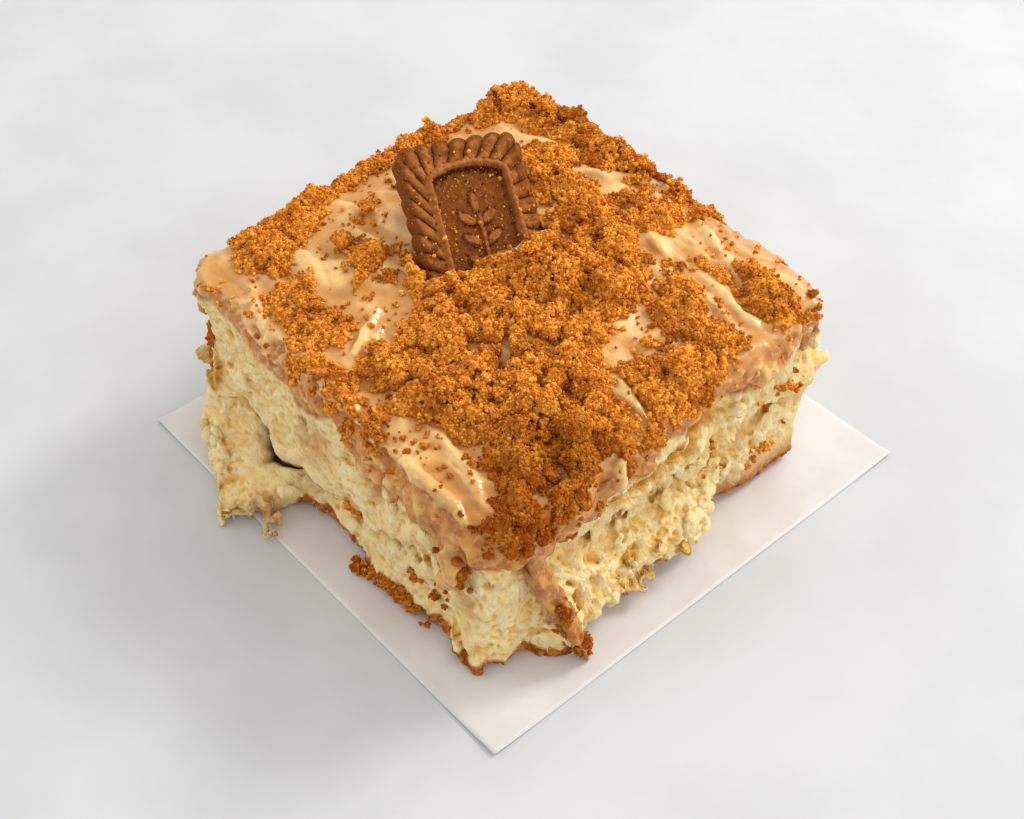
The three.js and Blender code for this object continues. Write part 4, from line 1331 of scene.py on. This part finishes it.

# %% [markdown]
# Torn crumb is pale. In its hollows, the crease of the right side and the opened pockets its colour is
# painted a deeper
# yellow and orange: painted shade, warm as light that has passed into the crumb. Crust is browned sugar and
# flour, darkest at the base.
# %% Bread finish
crumb = Finish("torn_crumb", Roughness=0.85, Subsurface_Weight=0.15, Subsurface_Scale=0.0012,
               Subsurface_Radius=(1.0, 0.62, 0.28), Specular_IOR_Level=0.1)
hollow = crumb.kept("hollow")
soaked = crumb.mixed(crumb.mottle(2.2).between(0.35, 0.65), tone(222, 166, 104), tone(190, 124, 74))
crust = crumb.mixed(crumb.mottle(1.6).between(0.35, 0.7), tone(148, 76, 28), tone(206, 130, 54))
# The two layers by hollowness over the pale tone are painted shade in the hollows, creases and opened
# pockets.
crumb.feed(Base_Color=crumb.layered(
    tone(255, 233, 178),
    (hollow.between(0.35, 0.72), tone(242, 196, 100)),
    (hollow.between(0.68, 1.0), tone(208, 144, 58)),
    (crumb.mottle(6).between(0.42, 0.68) * 0.5, tone(248, 204, 124)),
    (crumb.mottle(1.6, 4).between(0.5, 0.7) * 0.25, tone(236, 186, 120)),
    (crumb.kept("soak") * 0.75, soaked),
    (crumb.kept("scorch") * 0.28, tone(232, 168, 84)),
    (crumb.kept("toast"), crust),
    # Painted shadow along the front tear.
    (crumb.kept("tear"), tone(84, 46, 16))))
crumb.bumped(crumb.mottle(1.2, 5, 0.7) + crumb.mottle(0.45, 2) * 0.5, 1.0, 0.8)
crumb.paint(bread, strands_piece)
print("bread finish has", len(crumb.nodes), "nodes")

# %% [markdown]
# Wet glaze is smooth on top and milky inside. Where it is thick it is pale caramel, and where it has run
# thin the brown crust shows through, which a mix by thickness gives without any real see-through layers.
# %% Glaze finish
icing = Finish("caramel_glaze", Subsurface_Weight=0.1, Subsurface_Scale=0.0015,
               Subsurface_Radius=(1.0, 0.6, 0.3), Specular_IOR_Level=0.2, Coat_Roughness=0.08, Coat_IOR=1.4)
thickness = icing.kept("thick") + (icing.mottle(7) - 0.5) * 0.9
crumpled, caramel = icing.kept("crumpled"), icing.kept("caramel")
burnt = icing.mixed(icing.mottle(3).between(0.4, 0.6), tone(190, 124, 50), tone(146, 82, 26))
speckle = icing.mottle(0.9, 2).between(0.5, 0.62) * icing.kept("dust")
# Its layer by hollowness darkens the glaze in its hollows: painted shade.
body = icing.layered(
    tone(206, 146, 72),
    (thickness.between(0.05, 0.75), tone(238, 196, 126)),
    (icing.mottle(2.4).between(0.5, 0.72) * 0.4, tone(210, 146, 88)),
    (icing.kept("hollow").between(0.5, 0.9) * 0.5, tone(176, 104, 50)),
    (crumpled * icing.mottle(3, 4).between(0.4, 0.6) * 0.8, tone(178, 102, 38)),
    (crumpled * icing.mottle(1.3, 3).between(0.55, 0.7) * 0.6, tone(236, 190, 136)),
    (caramel * 0.85, burnt),
    (speckle * 0.8, tone(206, 118, 40)))
wet = (icing.mottle(9).between(0.3, 0.55) * 0.35 + 0.65) * (1 - caramel * 0.6) * (1 - crumpled * 0.5)
icing.feed(Base_Color=body, Roughness=icing.mottle(5) * 0.2 + 0.12, Coat_Weight=wet)
icing.bumped(icing.mottle(2.6, 3) + icing.mottle(0.9, 2) * 0.35, 0.5, 0.55)
icing.paint(glaze)
print("glaze finish has", len(icing.nodes), "nodes")

# %% [markdown]
# Crushed biscuit is the same dough as the whole one, but broken faces are lighter and more orange. The deep
# gaps between grains and the low ground between clumps are painted dark brown, as painted shade.
# %% Crumb finish
crush = Finish("crushed_biscuit", Roughness=0.8, Subsurface_Weight=0.06, Subsurface_Scale=0.0008,
               Subsurface_Radius=(1.0, 0.5, 0.2), Specular_IOR_Level=0.06)
shade = crush.mottle(1.1, 2) * 0.6 + crush.kept("shade") * 0.45
crush.feed(Base_Color=crush.layered(
    tone(190, 94, 8),
    (shade.between(0.25, 0.75), tone(255, 182, 76)),
    (crush.mottle(7, 3).between(0.46, 0.66) * 0.6, tone(160, 74, 12)),
    (crush.kept("low") * 0.55, tone(146, 62, 8)),
    (crush.kept("moist") * 0.7, tone(146, 66, 8)),
    (crush.kept("hollow").between(0.46, 0.82), tone(74, 16, 0))))
crush.bumped(crush.mottle(0.5, 4, 0.7), 0.8, 0.3)
crush.paint(*crumb_pieces)
print("crumb finish has", len(crush.nodes), "nodes")

# %% [markdown]
# The raised rim, frame and ear are painted paler, a painted highlight where the relief stands up into the
# light, and the corners of the mould are painted dark, as painted shade. The two browns are mixed by the
# height of the relief, so the colour follows the shape.
# %% Biscuit finish
baked = Finish("baked_biscuit", Roughness=0.82, Specular_IOR_Level=0.08)
baked.feed(Base_Color=baked.layered(
    tone(128, 70, 24),
    (baked.kept("raised"), tone(172, 106, 54)),
    (baked.mottle(1.4, 4).between(0.4, 0.7) * 0.5, tone(104, 54, 18)),
    (baked.kept("hollow").between(0.5, 0.78), tone(66, 28, 8)),
    (baked.mottle(0.45, 1).between(0.66, 0.74) * 0.8, tone(206, 150, 92))))
baked.bumped(baked.mottle(0.5, 4) + baked.mottle(0.2, 2) * 0.5, 0.6, 0.3)
baked.paint(biscuit)
print("biscuit finish has", len(baked.nodes), "nodes")

# %% [markdown]
# Parchment is a little shiny from its coating and mottled where it is thicker or thinner. The floor is a
# pale table top: nearly one grey, with wide soft patches so that it does not look like a flat backdrop.
# %% Parchment and floor finishes
waxed = Finish("waxed_paper", Roughness=0.5)
paper = waxed.mixed(waxed.mottle(14).between(0.35, 0.65), tone(211, 207, 204), tone(218, 215, 213))
waxed.feed(Base_Color=paper)
waxed.bumped(waxed.mottle(3, 3), 0.15, 0.2)
waxed.paint(parchment)
plaster = Finish("pale_plaster", Roughness=0.6)
table = plaster.mixed(plaster.mottle(60, 5).between(0.35, 0.65), tone(195, 197, 199), tone(203, 205, 207))
plaster.feed(Base_Color=table)
plaster.bumped(plaster.mottle(20, 5), 0.1, 0.3)
FLOOR = 5000.0  # mm from the middle to each side
corners = [(-FLOOR, -FLOOR, 0), (FLOOR, -FLOOR, 0), (FLOOR, FLOOR, 0), (-FLOOR, FLOOR, 0)]
floor = build_piece("floor", np.array(corners), np.array([[0, 1, 2, 3]]))
plaster.paint(floor)
print("paper and floor are painted")

# %% [markdown]
# ## Light and camera
# A wide soft light stands behind, as a window would, to rake over the glaze and the crumbs, and a small one
# in the same direction puts sharp glints on the wet glaze. A weak warm light fills the torn side on the
# left, another lights the one on the right, and a pale world lifts the rest.
# %% Lights


def soft_light(name, at, size, power, colour=(1, 1, 1)):
    """A square area light aimed at the roll. at and size are in metres."""
    light = bpy.data.lights.new(name, "AREA")
    light.shape, light.size, light.energy, light.color = "SQUARE", size, power, colour
    lamp = bpy.data.objects.new(name, light)
    lamp.location = at
    lamp.rotation_euler = (Vector((0, 0, 0.03)) - Vector(at)).to_track_quat("-Z", "Y").to_euler()
    bpy.context.scene.collection.objects.link(lamp)


soft_light("window", (0.0, 1.6, 1.3), 1.7, 12.0, (1.0, 0.975, 0.93))
soft_light("glint", (0.2, 1.0, 0.85), 0.32, 8.0, (1.0, 0.97, 0.92))
soft_light("fill", (-0.8, -0.75, 0.55), 1.0, 3.0, (1.0, 0.93, 0.84))
soft_light("side", (0.9, 0.25, 0.5), 0.8, 2.6)
world = bpy.data.worlds.new("room")
world.use_nodes = True
world.node_tree.nodes["Background"].inputs["Color"].default_value = (1.0, 0.995, 0.985, 1)
world.node_tree.nodes["Background"].inputs["Strength"].default_value = 0.8
bpy.context.scene.world = world
bpy.context.scene.view_settings.view_transform = "Standard"
print("lights:", len(bpy.data.lights))

# %% [markdown]
# The camera looks down at the near corner from about a forearm's length, so that the top and both torn sides
# show. A long lens keeps the far corner from shrinking.
# %% Camera
camera_data = bpy.data.cameras.new("camera")
camera_data.lens, camera_data.sensor_width = 54.65, 36
camera = bpy.data.objects.new("camera", camera_data)
camera.location = (0.1944, -0.1707, 0.2776)
looking_back = Vector((0.5236, -0.4619, 0.7159))
camera.rotation_euler = looking_back.to_track_quat("Z", "Y").to_euler()
bpy.context.scene.collection.objects.link(camera)
bpy.context.scene.camera = camera
print("camera stands", round(camera.location.length, 3), "m away")
